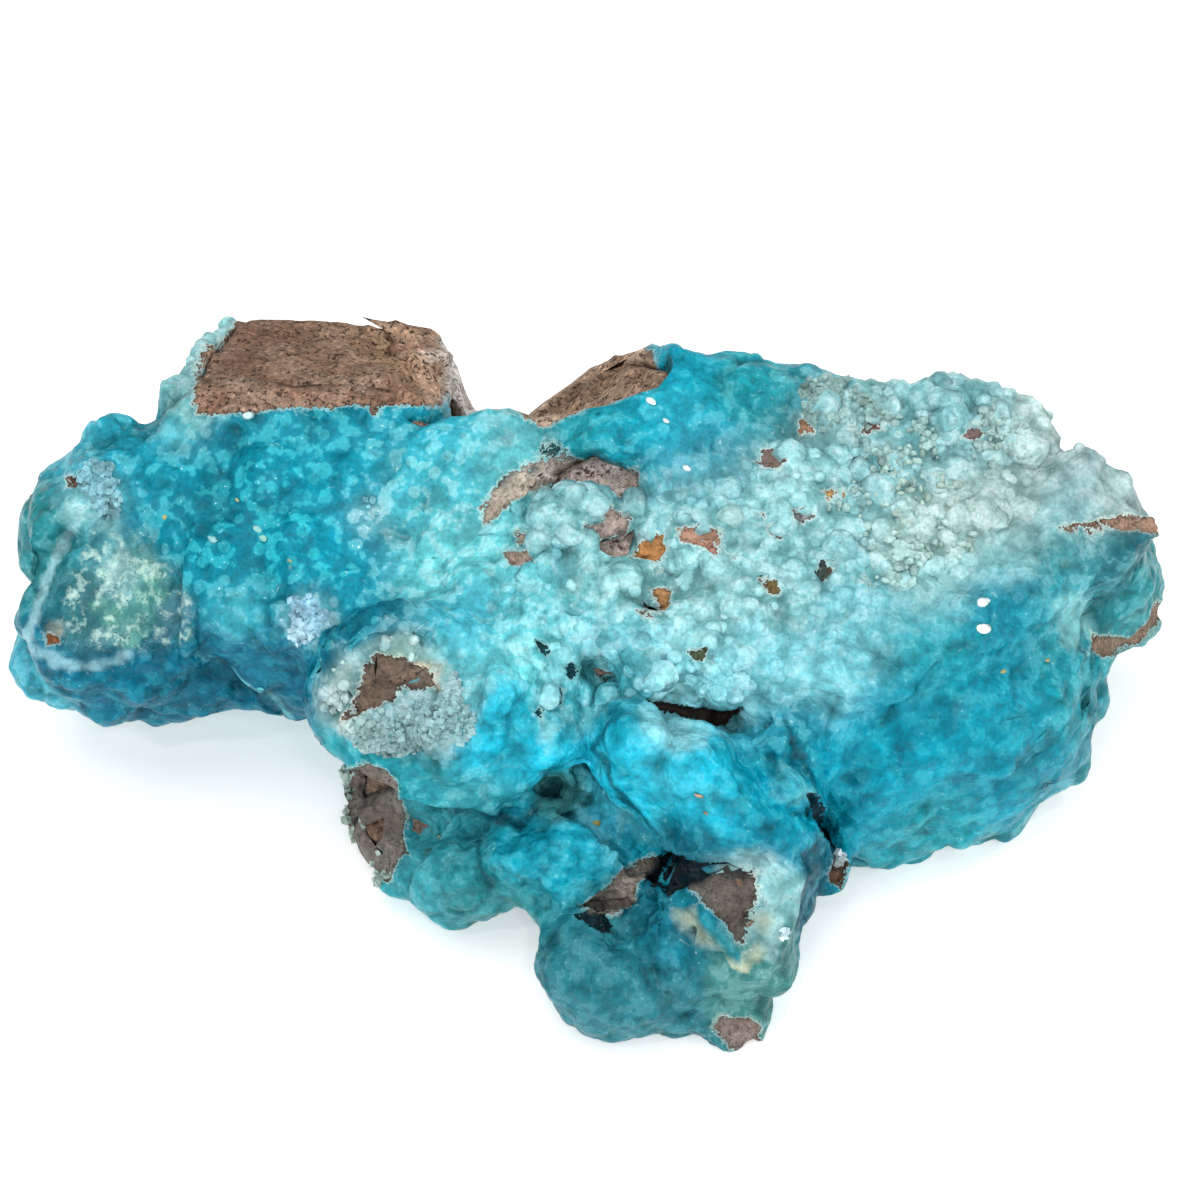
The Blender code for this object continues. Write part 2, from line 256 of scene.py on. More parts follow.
# How the masses stand apart: clefts that are pressed in, and crests that are pushed out, along lines of
# places. Each has its half-width and its depth in mm; a crest has a depth below 0.
Line = namedtuple("Line", "places reach depth")
LINES = {
    "knob left": Line([(338, 640), (336, 700), (334, 745), (350, 780)], 2.2, 1.6),
    "knob right": Line([(604, 668), (590, 712), (592, 760), (552, 792)], 2.0, 3.6),
    "behind the fist": Line([(604, 680), (650, 695), (700, 706), (745, 722), (800, 712)], 2.2, 1.6),
    "under the knob": Line([(352, 790), (400, 828), (450, 838), (500, 830), (548, 794)], 2.2, 3.0),
    "under the fist": Line(
        [(548, 790), (600, 812), (645, 852), (700, 870), (770, 866), (822, 856)], 1.6, 1.8),
    "fist and thumb": Line([(726, 720), (744, 762), (766, 798), (806, 812)], 1.4, 2.6),
    "thumb and apron": Line([(812, 715), (818, 770), (828, 830), (832, 880)], 1.9, 2.2),
    "under the shelf": Line([(470, 832), (490, 875), (540, 897), (590, 908), (650, 890)], 1.8, 1.8),
    "over the foot": Line([(535, 925), (590, 914), (615, 935), (640, 905), (665, 870)], 2.0, 2.0),
    "foot and its knob": Line([(625, 925), (640, 965), (690, 1012)], 1.8, 1.2),
    "flank and wedge": Line([(196, 600), (203, 655), (240, 700), (285, 728)], 1.8, 1.2),
    "behind the left face": Line(
        [(12, 565), (45, 572), (62, 545), (112, 512), (150, 535), (190, 590)], 1.7, 1.5),
    "side lobe": Line([(1088, 545), (1098, 600), (1094, 660), (1086, 705)], 1.5, 2.4),
    "fist crest": Line([(612, 708), (670, 738), (730, 785), (790, 835)], 4.2, -2.4),
    "thumb crest": Line([(762, 718), (780, 752), (796, 785)], 2.6, -2.0),
    "knob foot left": Line([(395, 795), (418, 812), (442, 808)], 2.3, -1.3),
    "knob foot right": Line([(478, 802), (505, 812), (535, 792)], 2.3, -1.3),
    "knob cheek": Line([(480, 700), (522, 740), (530, 780)], 4.0, -0.8),
    "shelf crest": Line([(500, 850), (560, 850), (625, 838)], 3.0, -1.2),
    "left face edge": Line([(42, 635), (62, 575), (93, 517)], 0.9, -0.8),
}

# Where a mass stands a little to one side: its middle, its reach, and how far it goes right and up as seen,
# in mm.
Shift = namedtuple("Shift", "column row reach right up")
SHIFTS = {
    "left notch": Shift(20, 570, 4.5, 4.2, 0.6),
    "left tip": Shift(14, 525, 2.5, -0.8, 0.0),
    "flap tip": Shift(386, 327, 3.2, 0.8, -2.2),
    "left foot": Shift(18, 626, 4.5, 2.6, 0.0),
    "slab top": Shift(408, 324, 4.0, 0.0, -2.4),
    "notch": Shift(505, 424, 3.6, 0.0, 1.8),
    "upper edge": Shift(735, 350, 4.2, 0.0, -1.7),
    "right skyline": Shift(1094, 468, 3.6, -0.2, 2.0),
    "right shoulder": Shift(1056, 416, 3.0, -1.0, -0.3),
    "far dip": Shift(906, 392, 2.4, 0.0, 0.8),
    "far dip left": Shift(857, 390, 2.4, 0.0, 0.9),
    "far dip right": Shift(1005, 398, 3.2, 0.3, 1.1),
    "right point": Shift(1146, 532, 2.4, 2.0, 0.4),
    "apron side": Shift(1096, 742, 4.2, -1.7, 0.2),
    "low left side": Shift(352, 820, 3.6, -1.2, 0.0),
    "slab corner": Shift(428, 350, 5.0, 2.6, -0.6),
    "foot knob side": Shift(802, 950, 3.6, -1.6, 0.0),
    "far edge": Shift(962, 377, 4.6, 0.0, -1.7),
    "apron corner": Shift(1060, 800, 4.6, -1.6, 1.8),
}

# Where the crust has flaked off down to the stained layer at its root, or is open to a hollow, whose
# near-black or dark teal colour is painted shade: the outline as places, the colour and how deep it lies, in
# mm. A depth of 0 is bare rock, level with the skin.
Break = namedtuple("Break", "outline colour depth", defaults=(0.7,))
BREAKS = {
    "arc left": Break(
        [(484, 520), (488, 495), (499, 482), (525, 468), (540, 462), (544, 486), (522, 497), (510, 503),
         (496, 515), (488, 525), (484, 540)], "#BEB2A4"),
    "arc top": Break(
        [(536, 463), (543, 457), (567, 461), (594, 463), (620, 472), (643, 477), (637, 486), (636, 499),
         (624, 495), (609, 484), (590, 478), (579, 474), (560, 482), (540, 490)], "#B1A49C", 0.9),
    "arc rust": Break([(584, 472), (600, 471), (614, 478), (606, 484), (590, 482)], "#B88A62", 0.9),
    "taupe": Break(
        [(602, 503), (613, 508), (637, 522), (625, 529), (622, 546), (602, 551), (597, 541), (608, 535),
         (584, 534), (583, 524), (601, 527), (606, 518)], "#B3A29A"),
    "taupe left": Break([(512, 530), (535, 530), (527, 538), (521, 545)], "#B5A698"),
    "taupe low": Break([(507, 556), (526, 551), (535, 563), (513, 567)], "#B9A79A"),
    "rust": Break([(630, 550), (646, 536), (661, 534), (664, 552), (658, 570), (651, 558)], "#AE7C4C", 1.0),
    "rust low": Break([(647, 571), (663, 576), (671, 600), (664, 606), (655, 591)], "#B3855A", 0.9),
    "grey": Break([(636, 609), (651, 611), (646, 620)], "#9C8A84"),
    "pink": Break(
        [(678, 529), (700, 526), (723, 530), (724, 539), (708, 539), (693, 542), (681, 540)], "#B6907C"),
    "pink low": Break([(700, 541), (712, 544), (730, 556), (727, 565), (714, 555)], "#BA9180"),
    "far grey": Break([(791, 511), (815, 510), (812, 520), (796, 520)], "#85858A"),
    "far taupe": Break([(762, 517), (775, 524), (778, 541), (768, 533)], "#957D75"),
    "far brown": Break([(760, 455), (769, 448), (786, 459), (774, 470), (762, 464)], "#86746F"),
    "far gold": Break([(823, 488), (842, 484), (845, 498), (829, 501)], "#C3A06A"),
    "olive": Break([(758, 580), (773, 582), (783, 596), (770, 592)], "#857550"),
    # Painted shade: a dark hole.
    "dark eye": Break([(810, 579), (822, 561), (833, 562), (830, 578), (814, 586)], "#3B4A48", 1.1),
    "far rust": Break([(800, 422), (813, 421), (812, 431), (803, 430)], "#B08468"),
    "right brown": Break([(857, 429), (870, 420), (885, 412), (881, 431), (862, 436)], "#866860", 0.9),
    "right grey": Break([(964, 438), (978, 427), (988, 434), (976, 441)], "#8E7674"),
    # Painted shade: a dark hole.
    "right dark": Break([(858, 575), (871, 576), (876, 585), (863, 584)], "#4E5A54", 1.0),
    "right rust": Break([(818, 571), (834, 571), (828, 579)], "#96683F"),
    "wedge of rock": Break(
        [(1060, 529), (1075, 524), (1095, 521), (1125, 513), (1166, 520), (1170, 537), (1137, 530),
         (1108, 531), (1080, 532)], "#947A68", 0.5),
    "side edge": Break(
        [(1092, 638), (1108, 635), (1126, 636), (1145, 622), (1158, 600), (1164, 612), (1148, 636),
         (1110, 655), (1092, 655)], "#837263", 0.2),
    "knob": Break(
        [(372, 650), (380, 655), (400, 659), (424, 667), (438, 674), (437, 690), (418, 689), (403, 688),
         (392, 696), (380, 706), (362, 711), (345, 722), (352, 702), (358, 686), (364, 672), (366, 658)],
        "#75675C", 1.3),
    "low left rock": Break(
        [(350, 768), (366, 764), (386, 770), (398, 786), (402, 815), (404, 845), (397, 866), (388, 880),
         (362, 880), (340, 860), (326, 834), (320, 812), (334, 790)], "#75706A", 0.6),
    "foot knob": Break(
        [(685, 885), (700, 879), (722, 876), (759, 871), (758, 890), (754, 915), (751, 937), (747, 953),
         (737, 942), (722, 926), (714, 914), (700, 901)], "#64605A", 1.6),
    # Painted shade: the dark hollow over the foot knob.
    "over the foot knob": Break(
        [(645, 860), (667, 851), (689, 861), (719, 862), (740, 851), (743, 870), (715, 875), (690, 882),
         (664, 892), (650, 880)], "#0C2028", 1.4),
    "shelf rock": Break(
        [(579, 906), (606, 887), (628, 866), (655, 855), (650, 875), (637, 883), (633, 903), (616, 912),
         (595, 912)], "#8B857C", 0.8),
    # Painted shade: the dark hollows under the shelf, behind the fist and beside the thumb.
    "under the shelf": Break([(575, 919), (602, 908), (615, 936), (603, 934), (590, 927)], "#0E2E38", 1.2),
    "behind the fist": Break(
        [(646, 702), (664, 703), (684, 706), (706, 709), (744, 708), (728, 720), (714, 729), (700, 724),
         (682, 717), (662, 711)], "#37302C", 1.0),
    "beside the thumb": Break(
        [(806, 792), (818, 797), (824, 819), (834, 848), (822, 838), (812, 818)], "#0F3542", 1.0),
    "small bit": Break([(829, 860), (838, 852), (846, 866), (838, 886), (828, 880)], "#6E5A4C", 0.4),
    "foot tip": Break([(712, 1026), (726, 1013), (758, 1022), (757, 1045), (730, 1046)], "#837670", 0.3),
    # Painted shade: the pits, dark where they lie in shadow.
    "pit left": Break([(540, 443), (552, 440), (566, 449), (552, 457), (542, 452)], "#2C6A70", 0.9),
    "pit far left": Break([(518, 460), (536, 467), (526, 473)], "#1F5A64", 0.9),
    "pit end": Break([(491, 470), (503, 475), (499, 488)], "#1A4F5A", 0.9),
    "pit by the knob": Break([(533, 638), (541, 641), (550, 652), (546, 657), (539, 650)], "#1E5058", 0.8),
    "pit by the knob low": Break(
        [(561, 668), (573, 664), (582, 668), (577, 677), (570, 681), (566, 674)], "#124552", 0.9),
    "pit by the strip": Break([(559, 685), (566, 689), (564, 705), (559, 699)], "#1C5660", 0.7),
    "pit by the strip low": Break([(537, 710), (546, 710), (543, 718)], "#1C5660", 0.6),
    "pit in the knob": Break([(414, 735), (423, 737), (421, 746), (415, 744)], "#2A6470", 0.6),
    "pit by the knob right": Break([(598, 666), (609, 673), (603, 682)], "#124552", 0.9),
    "yellow pit": Break([(685, 650), (708, 645), (704, 661), (690, 662)], "#4C5A42", 0.9),
    "shoulder spot": Break([(70, 478), (82, 476), (84, 489), (72, 491)], "#7C6054", 0.5),
    "left face spot": Break([(45, 633), (58, 635), (61, 643), (48, 643)], "#8A5F40", 0.2),
    "slab left": Break(
        [(192, 405), (196, 376), (207, 353), (225, 338), (236, 321), (264, 312), (275, 405)],
        "#A08A78", 0.0),
    "slab front": Break(
        [(196, 414), (250, 413), (298, 408), (340, 406), (374, 405), (402, 403), (402, 372), (350, 368),
         (300, 362), (205, 345)], "#967B6A", 0.0),
    "slab right": Break(
        [(350, 296), (400, 300), (440, 318), (444, 395), (436, 408), (400, 404), (376, 366), (352, 348)],
        "#A88C76", 0.0),
    "slab flank": Break(
        [(438, 335), (456, 336), (480, 372), (503, 408), (470, 412), (446, 398)], "#CFC9C2", 0.0),
    "mid back": Break(
        [(512, 413), (528, 394), (560, 374), (604, 358), (652, 346), (655, 362), (642, 381), (626, 397),
         (600, 409), (572, 417), (545, 427)], "#B59E8A", 0.0),
}
BREAK_EDGE = 8  # half the width that the edge of a break wanders over, in places
DEEP_MARGIN = 4  # mm of skin looked at round the middle of a break, beyond its corners
FLAT_MARGIN = 25  # the same for one without depth, where a corner may have no skin behind it
TURNED_AWAY = -0.75  # how far the skin may face away from the viewpoint and still be broken
OPENING = (0.45, 0.70)  # how open the skin is where the floor of a break begins, and where it is reached
LIP_INSIDE = (0.2, 0.42)  # the same for the lip round it, on the side of the skin and on that of the floor
LIP_OUTSIDE = (0.45, 0.6)
STAIN_POWER = 6  # a break's colour holds to its own side where two of them meet
ROOT_SPECKLE = 0.6  # how grainy the layer at the crust's root is, against 1 for bare rock

# Patches where the skin is painted another colour, with a ragged edge: the outline as places, and the colour.
# Some are painted light and shade, not a colour of the skin: the shade under the knob, and the highlights on
# the fist's ridge, the fist and the thumb.
Patch = namedtuple("Patch", "outline colour")
PATCHES = {
    "left face slate": Patch(
        [(80, 560), (92, 536), (104, 532), (108, 546), (100, 566), (84, 572)], "#3D8794"),
    "left face white": Patch(
        [(106, 540), (118, 546), (126, 560), (140, 562), (148, 576), (140, 592), (128, 586), (120, 574),
         (110, 582), (96, 580), (96, 570), (106, 560)], "#A9D3CC"),
    "left face mint": Patch(
        [(130, 556), (150, 548), (166, 566), (176, 590), (170, 606), (158, 628), (142, 640), (128, 648),
         (110, 640), (104, 618), (88, 604), (100, 598), (124, 604), (136, 596), (142, 580)], "#5B9E92"),
    "left face lilac": Patch(
        [(158, 608), (176, 588), (193, 602), (190, 630), (168, 642), (150, 640)], "#4B7F92"),
    "left face tan": Patch([(46, 626), (56, 616), (67, 622), (66, 636), (54, 640)], "#A9AE9C"),
    "field square": Patch([(158, 430), (170, 426), (182, 432), (178, 442), (162, 444)], "#63CCDA"),
    # Painted shade under the knob.
    "under the knob": Patch(
        [(540, 786), (556, 777), (578, 784), (596, 800), (580, 806), (550, 802)], "#0E3A40"),
    # Painted highlights on the ridge of the fist, on the fist and on the thumb.
    "fist ridge highlight": Patch(
        [(640, 709), (656, 711), (684, 722), (710, 736), (700, 750), (676, 752), (658, 742), (642, 726)],
        "#86D6E2"),
    "fist highlight": Patch(
        [(632, 760), (660, 752), (690, 768), (720, 790), (716, 812), (690, 800), (660, 808), (640, 790)],
        "#35C0DA"),
    "thumb highlight": Patch([(764, 782), (782, 762), (800, 768), (808, 790), (796, 806), (776, 800)], "#4FB9C6"),
    "side dome": Patch(
        [(1052, 600), (1070, 592), (1088, 604), (1096, 628), (1084, 648), (1062, 640)], "#7CC8CC"),
}
PATCH_EDGE = 8  # the width that the edge of a patch wanders over, in places
PATCH_REACH = 12  # mm, wider than any patch
PATCH_CLEARS = 0.7
BLOTCH_WIDTH = 1.6  # mm, the blotches that the colour of a patch comes in

# The broken face where the skin comes off in flakes.
FLAKY = [
    (60, 600), (76, 560), (92, 532), (112, 530), (140, 548), (168, 566), (192, 600), (192, 640), (150, 652),
    (100, 650), (66, 638),
]

# Cords of crust that fill the deepest hollows: the places that each runs through and its half-thickness, mm.
Cord = namedtuple("Cord", "places half")
CORD_BALLS = 1.6  # balls to each half-thickness of a cord's length
CORDS = {
    "left knob": Cord([(174, 532), (172, 548), (165, 565), (165, 590), (170, 612)], 2.0),
    "knob": Cord([(358, 655), (375, 645), (395, 645), (412, 662), (398, 672), (378, 672)], 2.2),
    "low left": Cord(
        [(376, 812), (392, 802), (412, 802), (432, 815), (440, 832), (420, 842), (395, 842), (405, 822)],
        2.2),
    "foot knob": Cord(
        [(698, 880), (702, 900), (715, 918), (728, 940), (742, 930), (748, 905), (742, 886), (722, 884),
         (702, 886), (715, 895), (728, 900)], 2.0),
    "behind the fist": Cord([(660, 695), (690, 702), (725, 710), (750, 715)], 2.4),
    "under the fist": Cord([(552, 782), (575, 800), (605, 820), (635, 845), (655, 868)], 2.4),
    "beside the foot": Cord([(580, 895), (605, 892), (630, 888), (645, 880)], 1.8),
    "beside the thumb": Cord([(836, 785), (842, 815), (842, 845)], 2.0),
    "slab": Cord([(404, 404), (422, 412), (442, 414)], 2.0),
    "flap": Cord([(395, 335), (404, 350), (415, 370), (428, 395)], 1.8),
    "flap gap": Cord([(414, 338), (420, 352), (425, 368), (430, 385), (436, 402)], 2.2),
    "arc": Cord(
        [(555, 510), (575, 502), (600, 510), (620, 520), (600, 525), (575, 525), (548, 520), (560, 505)],
        2.4),
    "plateau": Cord([(655, 590), (662, 602)], 1.6),
    "over the fist": Cord([(650, 678), (675, 682), (700, 686), (728, 690)], 2.5),
    "beside the knob": Cord([(546, 778), (560, 784), (574, 778), (586, 786), (582, 800), (566, 798)], 2.0),
    "arc end": Cord([(650, 472), (656, 485), (648, 502), (632, 508)], 1.7),
}

# Lines of colour that follow the grown layers where they come out at a broken edge, and dark lines of painted
# shade along the creases between the masses: the places, half the width in mm and the colour.
Stripe = namedtuple("Stripe", "places half colour")
STRIPES = {
    "left face rim": Stripe(
        [(30, 640), (38, 606), (50, 574), (66, 538), (84, 517), (112, 513)], 0.6, "#8FC3CC"),
    "left face foot": Stripe([(32, 646), (58, 660), (84, 667), (113, 663), (128, 654)], 0.75, "#80B4C2"),
    "foot knob wall": Stripe(
        [(680, 890), (694, 908), (710, 928), (728, 950), (745, 962), (756, 945), (760, 915)],
        0.9, "#1F8C9C"),
    "foot knob cream": Stripe(
        [(690, 918), (702, 936), (714, 951), (728, 964), (746, 970), (759, 954), (765, 923), (767, 895)],
        0.40, "#C9D2B2"),
    "foot knob lip": Stripe([(752, 860), (768, 864), (776, 890), (775, 925), (770, 955)], 1.1, "#A9DCE0"),
    "knob back rim": Stripe(
        [(352, 690), (352, 668), (366, 650), (392, 648), (420, 658), (440, 672)], 0.9, "#A5D2CF"),
    "knob left rim": Stripe([(338, 655), (335, 680), (340, 708), (350, 730)], 0.9, "#BCD6D2"),
    "knob gold": Stripe([(412, 664), (430, 668), (441, 680), (439, 694)], 0.55, "#D9C39A"),
    "knob strip": Stripe([(556, 650), (552, 680), (548, 710), (546, 740)], 1.3, "#7FD3DC"),
    "wedge edge": Stripe([(196, 652), (230, 672), (262, 700), (292, 722)], 0.4, "#63BAC8"),
    # Painted shade: dark lines along the creases where the masses meet.
    "crease under the knob": Stripe(
        [(387, 790), (396, 808), (408, 820), (422, 826), (436, 815), (453, 810), (473, 810), (492, 822),
         (517, 823), (537, 808), (545, 790)], 0.6, "#06414E"),
    "crease left of the shelf": Stripe([(487, 822), (479, 844), (480, 866), (492, 888)], 0.35, "#0E5C68"),
    "crease right of the thumb": Stripe(
        [(785, 722), (806, 758), (813, 795), (806, 814), (790, 815)], 0.35, "#0A5A6C"),
    "crease left of the fist": Stripe(
        [(606, 724), (595, 748), (612, 784), (634, 808), (660, 832)], 0.35, "#0A5A6C"),
    "crease of the foot knob": Stripe([(630, 920), (640, 955), (648, 985)], 0.35, "#14606C"),
    "crease of the side lobe": Stripe(
        [(1086, 569), (1104, 588), (1100, 612), (1094, 641), (1092, 683)], 0.35, "#1E7480"),
    "crease of the flank": Stripe(
        [(195, 611), (198, 651), (224, 671), (244, 697), (262, 712)], 0.3, "#04526A"),
    "slab edge": Stripe([(456, 340), (478, 370), (500, 402)], 0.5, "#EDEDEA"),
}
PLACES_PER_MM = 7.67
STRIPE_SLACK = 6.0  # mm that a stripe may lie off the straight line between two of its places
STRIPE_EDGE = (0.5, 1.3)  # of half its width, where a stripe begins to fade and where it ends
STRIPE_CLEARS = 0.6  # of the cloudy balls, how much a stripe takes away
PAINT = 0.85  # how much of the skin's own colour a stripe covers
RAGGED = (1.8, 0.9)  # mm, the coarse and the fine unevenness of every painted edge

CHANCES = np.random.default_rng(11).random((8192, 4))
CELL_MIX = (73856093, 19349663, 83492791)  # large primes that spread neighbouring cells over the chances
RIPPLE_STEP = 17.3  # how far one seed's lattice lies from the next one's, in cells
DOME_STEP = 7.7


def merged_copy(node, name):
    """A new object with the mesh of a CAD node, its loose triangles joined and its points in mm."""
    obj = bpy.data.objects.new(name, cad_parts[node].data.copy())
    bpy.context.scene.collection.objects.link(obj)
    obj.data.materials.clear()
    bm = bmesh.new()
    bm.from_mesh(obj.data)
    bmesh.ops.remove_doubles(bm, verts=bm.verts, dist=JOIN)
    bmesh.ops.scale(bm, vec=(1 / MM, 1 / MM, 1 / MM), verts=bm.verts)
    bm.to_mesh(obj.data)
    bm.free()
    return obj


def settle(obj):
    """Applies the modifiers of obj."""
    bpy.context.view_layer.update()
    graph = bpy.context.evaluated_depsgraph_get()
    old = obj.data
    obj.data = bpy.data.meshes.new_from_object(obj.evaluated_get(graph))
    obj.data.name = obj.name
    obj.modifiers.clear()
    bpy.data.meshes.remove(old)


def on_grid(obj, grid):
    """Gives obj an even skin of squares of this size."""
    step = obj.modifiers.new("Grid", "REMESH")
    step.mode = "VOXEL"
    step.voxel_size = grid
    settle(obj)


def relaxed(obj, rounds):
    """Smooths the skin of obj."""
    step = obj.modifiers.new("Relax", "SMOOTH")
    step.factor = 0.5
    step.iterations = rounds
    settle(obj)


def thinned(obj, count, group=None):
    """Reduces obj to about count triangles, first where the group's weights are high."""
    triangles = sum(len(face.vertices) - 2 for face in obj.data.polygons)
    step = obj.modifiers.new("Thin", "DECIMATE")
    step.ratio = min(1.0, count / triangles)
    step.use_collapse_triangulate = True
    if group:
        step.vertex_group = group
        step.vertex_group_factor = INSIDE_FIRST
    settle(obj)


def points_of(mesh):
    """The points of a mesh as an array."""
    flat = np.empty(len(mesh.vertices) * 3)
    mesh.vertices.foreach_get("co", flat)
    return flat.reshape(-1, 3)


def normals_of(mesh):
    """The outward normals at the points of a mesh."""
    flat = np.empty(len(mesh.vertices) * 3, dtype=np.float32)
    mesh.vertex_normals.foreach_get("vector", flat)
    return flat.reshape(-1, 3).astype(float)


def move_points(mesh, points):
    """Puts the points of a mesh at these places."""
    mesh.vertices.foreach_set("co", points.astype(np.float32).ravel())
    mesh.update()


def chance(cell):
    """Four numbers from 0 to 1 for each cell of a lattice, the same each run."""
    x, y, z = (cell[..., i].astype(np.int64) * CELL_MIX[i] for i in range(3))
    return CHANCES[(x ^ y ^ z) % len(CHANCES)]


def ripple(points, size, seed):
    """Smooth noise from -1 to 1: chance values on a lattice of this size, blended between its corners."""
    place = points / size + seed * RIPPLE_STEP
    base = np.floor(place)
    part = place - base
    part = part * part * (3 - 2 * part)
    total = np.zeros(len(points))
    for corner in np.ndindex(2, 2, 2):
        share = np.where(corner, part, 1 - part).prod(axis=1)
        total += share * chance(base + corner)[:, 0]
    return 2 * total - 1


def domes(points, size, seed):
    """Balls packed about this far apart: at each point the highest root of 1 - (distance / radius)^2."""
    place = points / size + seed * DOME_STEP
    base = np.floor(place)
    best = np.zeros(len(points))
    least, more = BALL_RADIUS
    for step in np.ndindex(3, 3, 3):
        cell = base + step - 1
        rolled = chance(cell)
        distance = ((place - cell - rolled[:, :3]) ** 2).sum(axis=1)
        best = np.maximum(best, 1 - distance / (least + more * rolled[:, 3]) ** 2)
    return np.sqrt(best)


def smooth_step(values, low, high):
    """0 below low, 1 above high, and a smooth rise between."""
    rise = np.clip((values - low) / (high - low), 0, 1)
    return rise * rise * (3 - 2 * rise)


def linear(colour):
    """The linear red, green, blue and alpha of an sRGB hex colour."""
    srgb = np.array([int(colour[i : i + 2], 16) for i in (1, 3, 5)]) / 255
    light = np.where(srgb <= 0.04045, srgb / 12.92, ((srgb + 0.055) / 1.055) ** 2.4)
    return (*light.tolist(), 1.0)


def add(tree, kind, inputs=(), **settings):
    """Adds a node with these settings; each input is a value, or an output to link."""
    made = tree.nodes.new(kind)
    for name, value in settings.items():
        setattr(made, name, value)
    for key, value in dict(inputs).items():
        if isinstance(value, bpy.types.NodeSocket):
            tree.links.new(value, made.inputs[key])
        else:
            made.inputs[key].default_value = value
    return made


def mixed(tree, share, first, second, how="MIX"):
    """Mixes two colours by share."""
    made = add(tree, "ShaderNodeMix", data_type="RGBA", blend_type=how)
    for socket, value in zip((made.inputs[0], made.inputs[6], made.inputs[7]), (share, first, second)):
        if isinstance(value, bpy.types.NodeSocket):
            tree.links.new(value, socket)
        else:
            socket.default_value = value
    return made.outputs[2]


def per_mm(size):
    """The scale of a pattern in Object coordinates whose features are this many mm wide."""
    return 1 / (size * MM)


ROCK_CLOUD_WIDTH = 2.2  # mm
RUST_WIDTH = 6.0
SPECK_WIDTH = 0.62
RUST = "#C7AC98"
BLACK_SPECK = "#2B1E17"


def rock_colour(tree, place, base):
    """A grainy rock of this colour: lighter and darker clouds, rusty stains, pale grains and black specks."""
    ground = add(
        tree, "ShaderNodeTexNoise",
        {"Vector": place, "Scale": per_mm(ROCK_CLOUD_WIDTH), "Detail": 4, "Roughness": 0.75},
    )
    tone = add(
        tree, "ShaderNodeMapRange",
        {"Value": ground.outputs["Fac"], "From Min": 0.3, "From Max": 0.7, "To Min": 0.50, "To Max": 1.55},
    )
    base = mixed(tree, 1.0, base, tone.outputs[0], "MULTIPLY")
    weathered = add(
        tree, "ShaderNodeTexNoise",
        {"Vector": place, "Scale": per_mm(RUST_WIDTH), "Detail": 2, "Roughness": 0.5},
    )
    brown = add(
        tree, "ShaderNodeMapRange",
        {"Value": weathered.outputs["Fac"], "From Min": 0.42, "From Max": 0.60, "To Max": 0.5},
    )
    base = mixed(tree, brown.outputs[0], base, mixed(tree, 1.0, base, linear(RUST), "MULTIPLY"))
    speck = add(
        tree, "ShaderNodeTexNoise",
        {"Vector": place, "Scale": per_mm(SPECK_WIDTH), "Detail": 3, "Roughness": 0.6, "Distortion": 0.7},
    )
    pale = add(
        tree, "ShaderNodeMapRange",
        {"Value": speck.outputs["Fac"], "From Min": 0.43, "From Max": 0.34, "To Min": 1.0, "To Max": 1.75},
    )
    base = mixed(tree, 1.0, base, pale.outputs[0], "MULTIPLY")
    dark = add(
        tree, "ShaderNodeMapRange",
        {"Value": speck.outputs["Fac"], "From Min": 0.55, "From Max": 0.60, "To Max": 0.85},
    )
    return mixed(tree, dark.outputs[0], base, linear(BLACK_SPECK))


def seen_at(trees, column, row):
    """The place on the nearest of these surfaces that is seen from the viewpoint at this column and row."""
    scale = SENSOR / LENS / FRAME_SIZE
    right = (column - FRAME_SIZE / 2) * scale
    up = (FRAME_SIZE / 2 - row) * scale
    ray = (Vector((right, 0, 0)) + view_up * up - view_back).normalized()
    hits = [tree.ray_cast(view_point, ray) for tree in trees]
    hits = [(distance, place) for place, _, _, distance in hits if place is not None]
    return min(hits, key=lambda hit: hit[0])[1] if hits else None


def column_and_row(points):
    """The column and row at which each point is seen from the viewpoint."""
    from_eye = points - np.array(view_point)
    far = -from_eye @ np.array(view_back) * SENSOR / LENS / FRAME_SIZE
    return FRAME_SIZE / 2 + np.stack([from_eye[:, 0] / far, -from_eye @ np.array(view_up) / far], axis=1)


def depth_inside(places, outline):
    """How far inside an outline each place is: its distance to the nearest side, and below 0 outside."""
    corners = np.array(outline, dtype=float)
    nearest = np.full(len(places), np.inf)
    inside = np.zeros(len(places), dtype=bool)
    for start, end in zip(corners, np.roll(corners, -1, axis=0)):
        along = end - start
        away = places - start
        share = np.clip(away @ along / (along @ along), 0, 1)
        nearest = np.minimum(nearest, np.linalg.norm(away - share[:, None] * along, axis=1))
        crossing = start[0] + away[:, 1] / (along[1] or 1e-9) * along[0]
        inside ^= ((start[1] > places[:, 1]) != (end[1] > places[:, 1])) & (places[:, 0] < crossing)
    return np.where(inside, nearest, -nearest)


def from_line(points, places):
    """The distance of each point to the line through the places."""
    away = np.full(len(points), np.inf)
    for start, end in zip(places, places[1:]):
        along = end - start
        share = np.clip((points - start) @ along / (along @ along), 0, 1)
        away = np.minimum(away, ((points - start - share[:, None] * along) ** 2).sum(axis=1))
    return np.sqrt(away)


def all_seen(trees, places):
    """The points of the surfaces that are seen at these places, leaving out those where nothing is."""
    found = [seen_at(trees, *place) for place in places]
    return [np.array(point) for point in found if point is not None]


def pressed(points, lines):
    """Moves points towards the viewpoint or away from it, by a bell curve of their distance to each line."""
    moved = points.copy()
    for places, line in lines:
        moved -= np.outer(line.depth * np.exp(-((from_line(points, places) / line.reach) ** 2)), view_back)
    return moved


def nearness(points, place, reach):
    """1 at the place, falling off as a bell curve of this reach."""
    return np.exp(-((points - np.array(place)) ** 2).sum(axis=1) / reach**2)


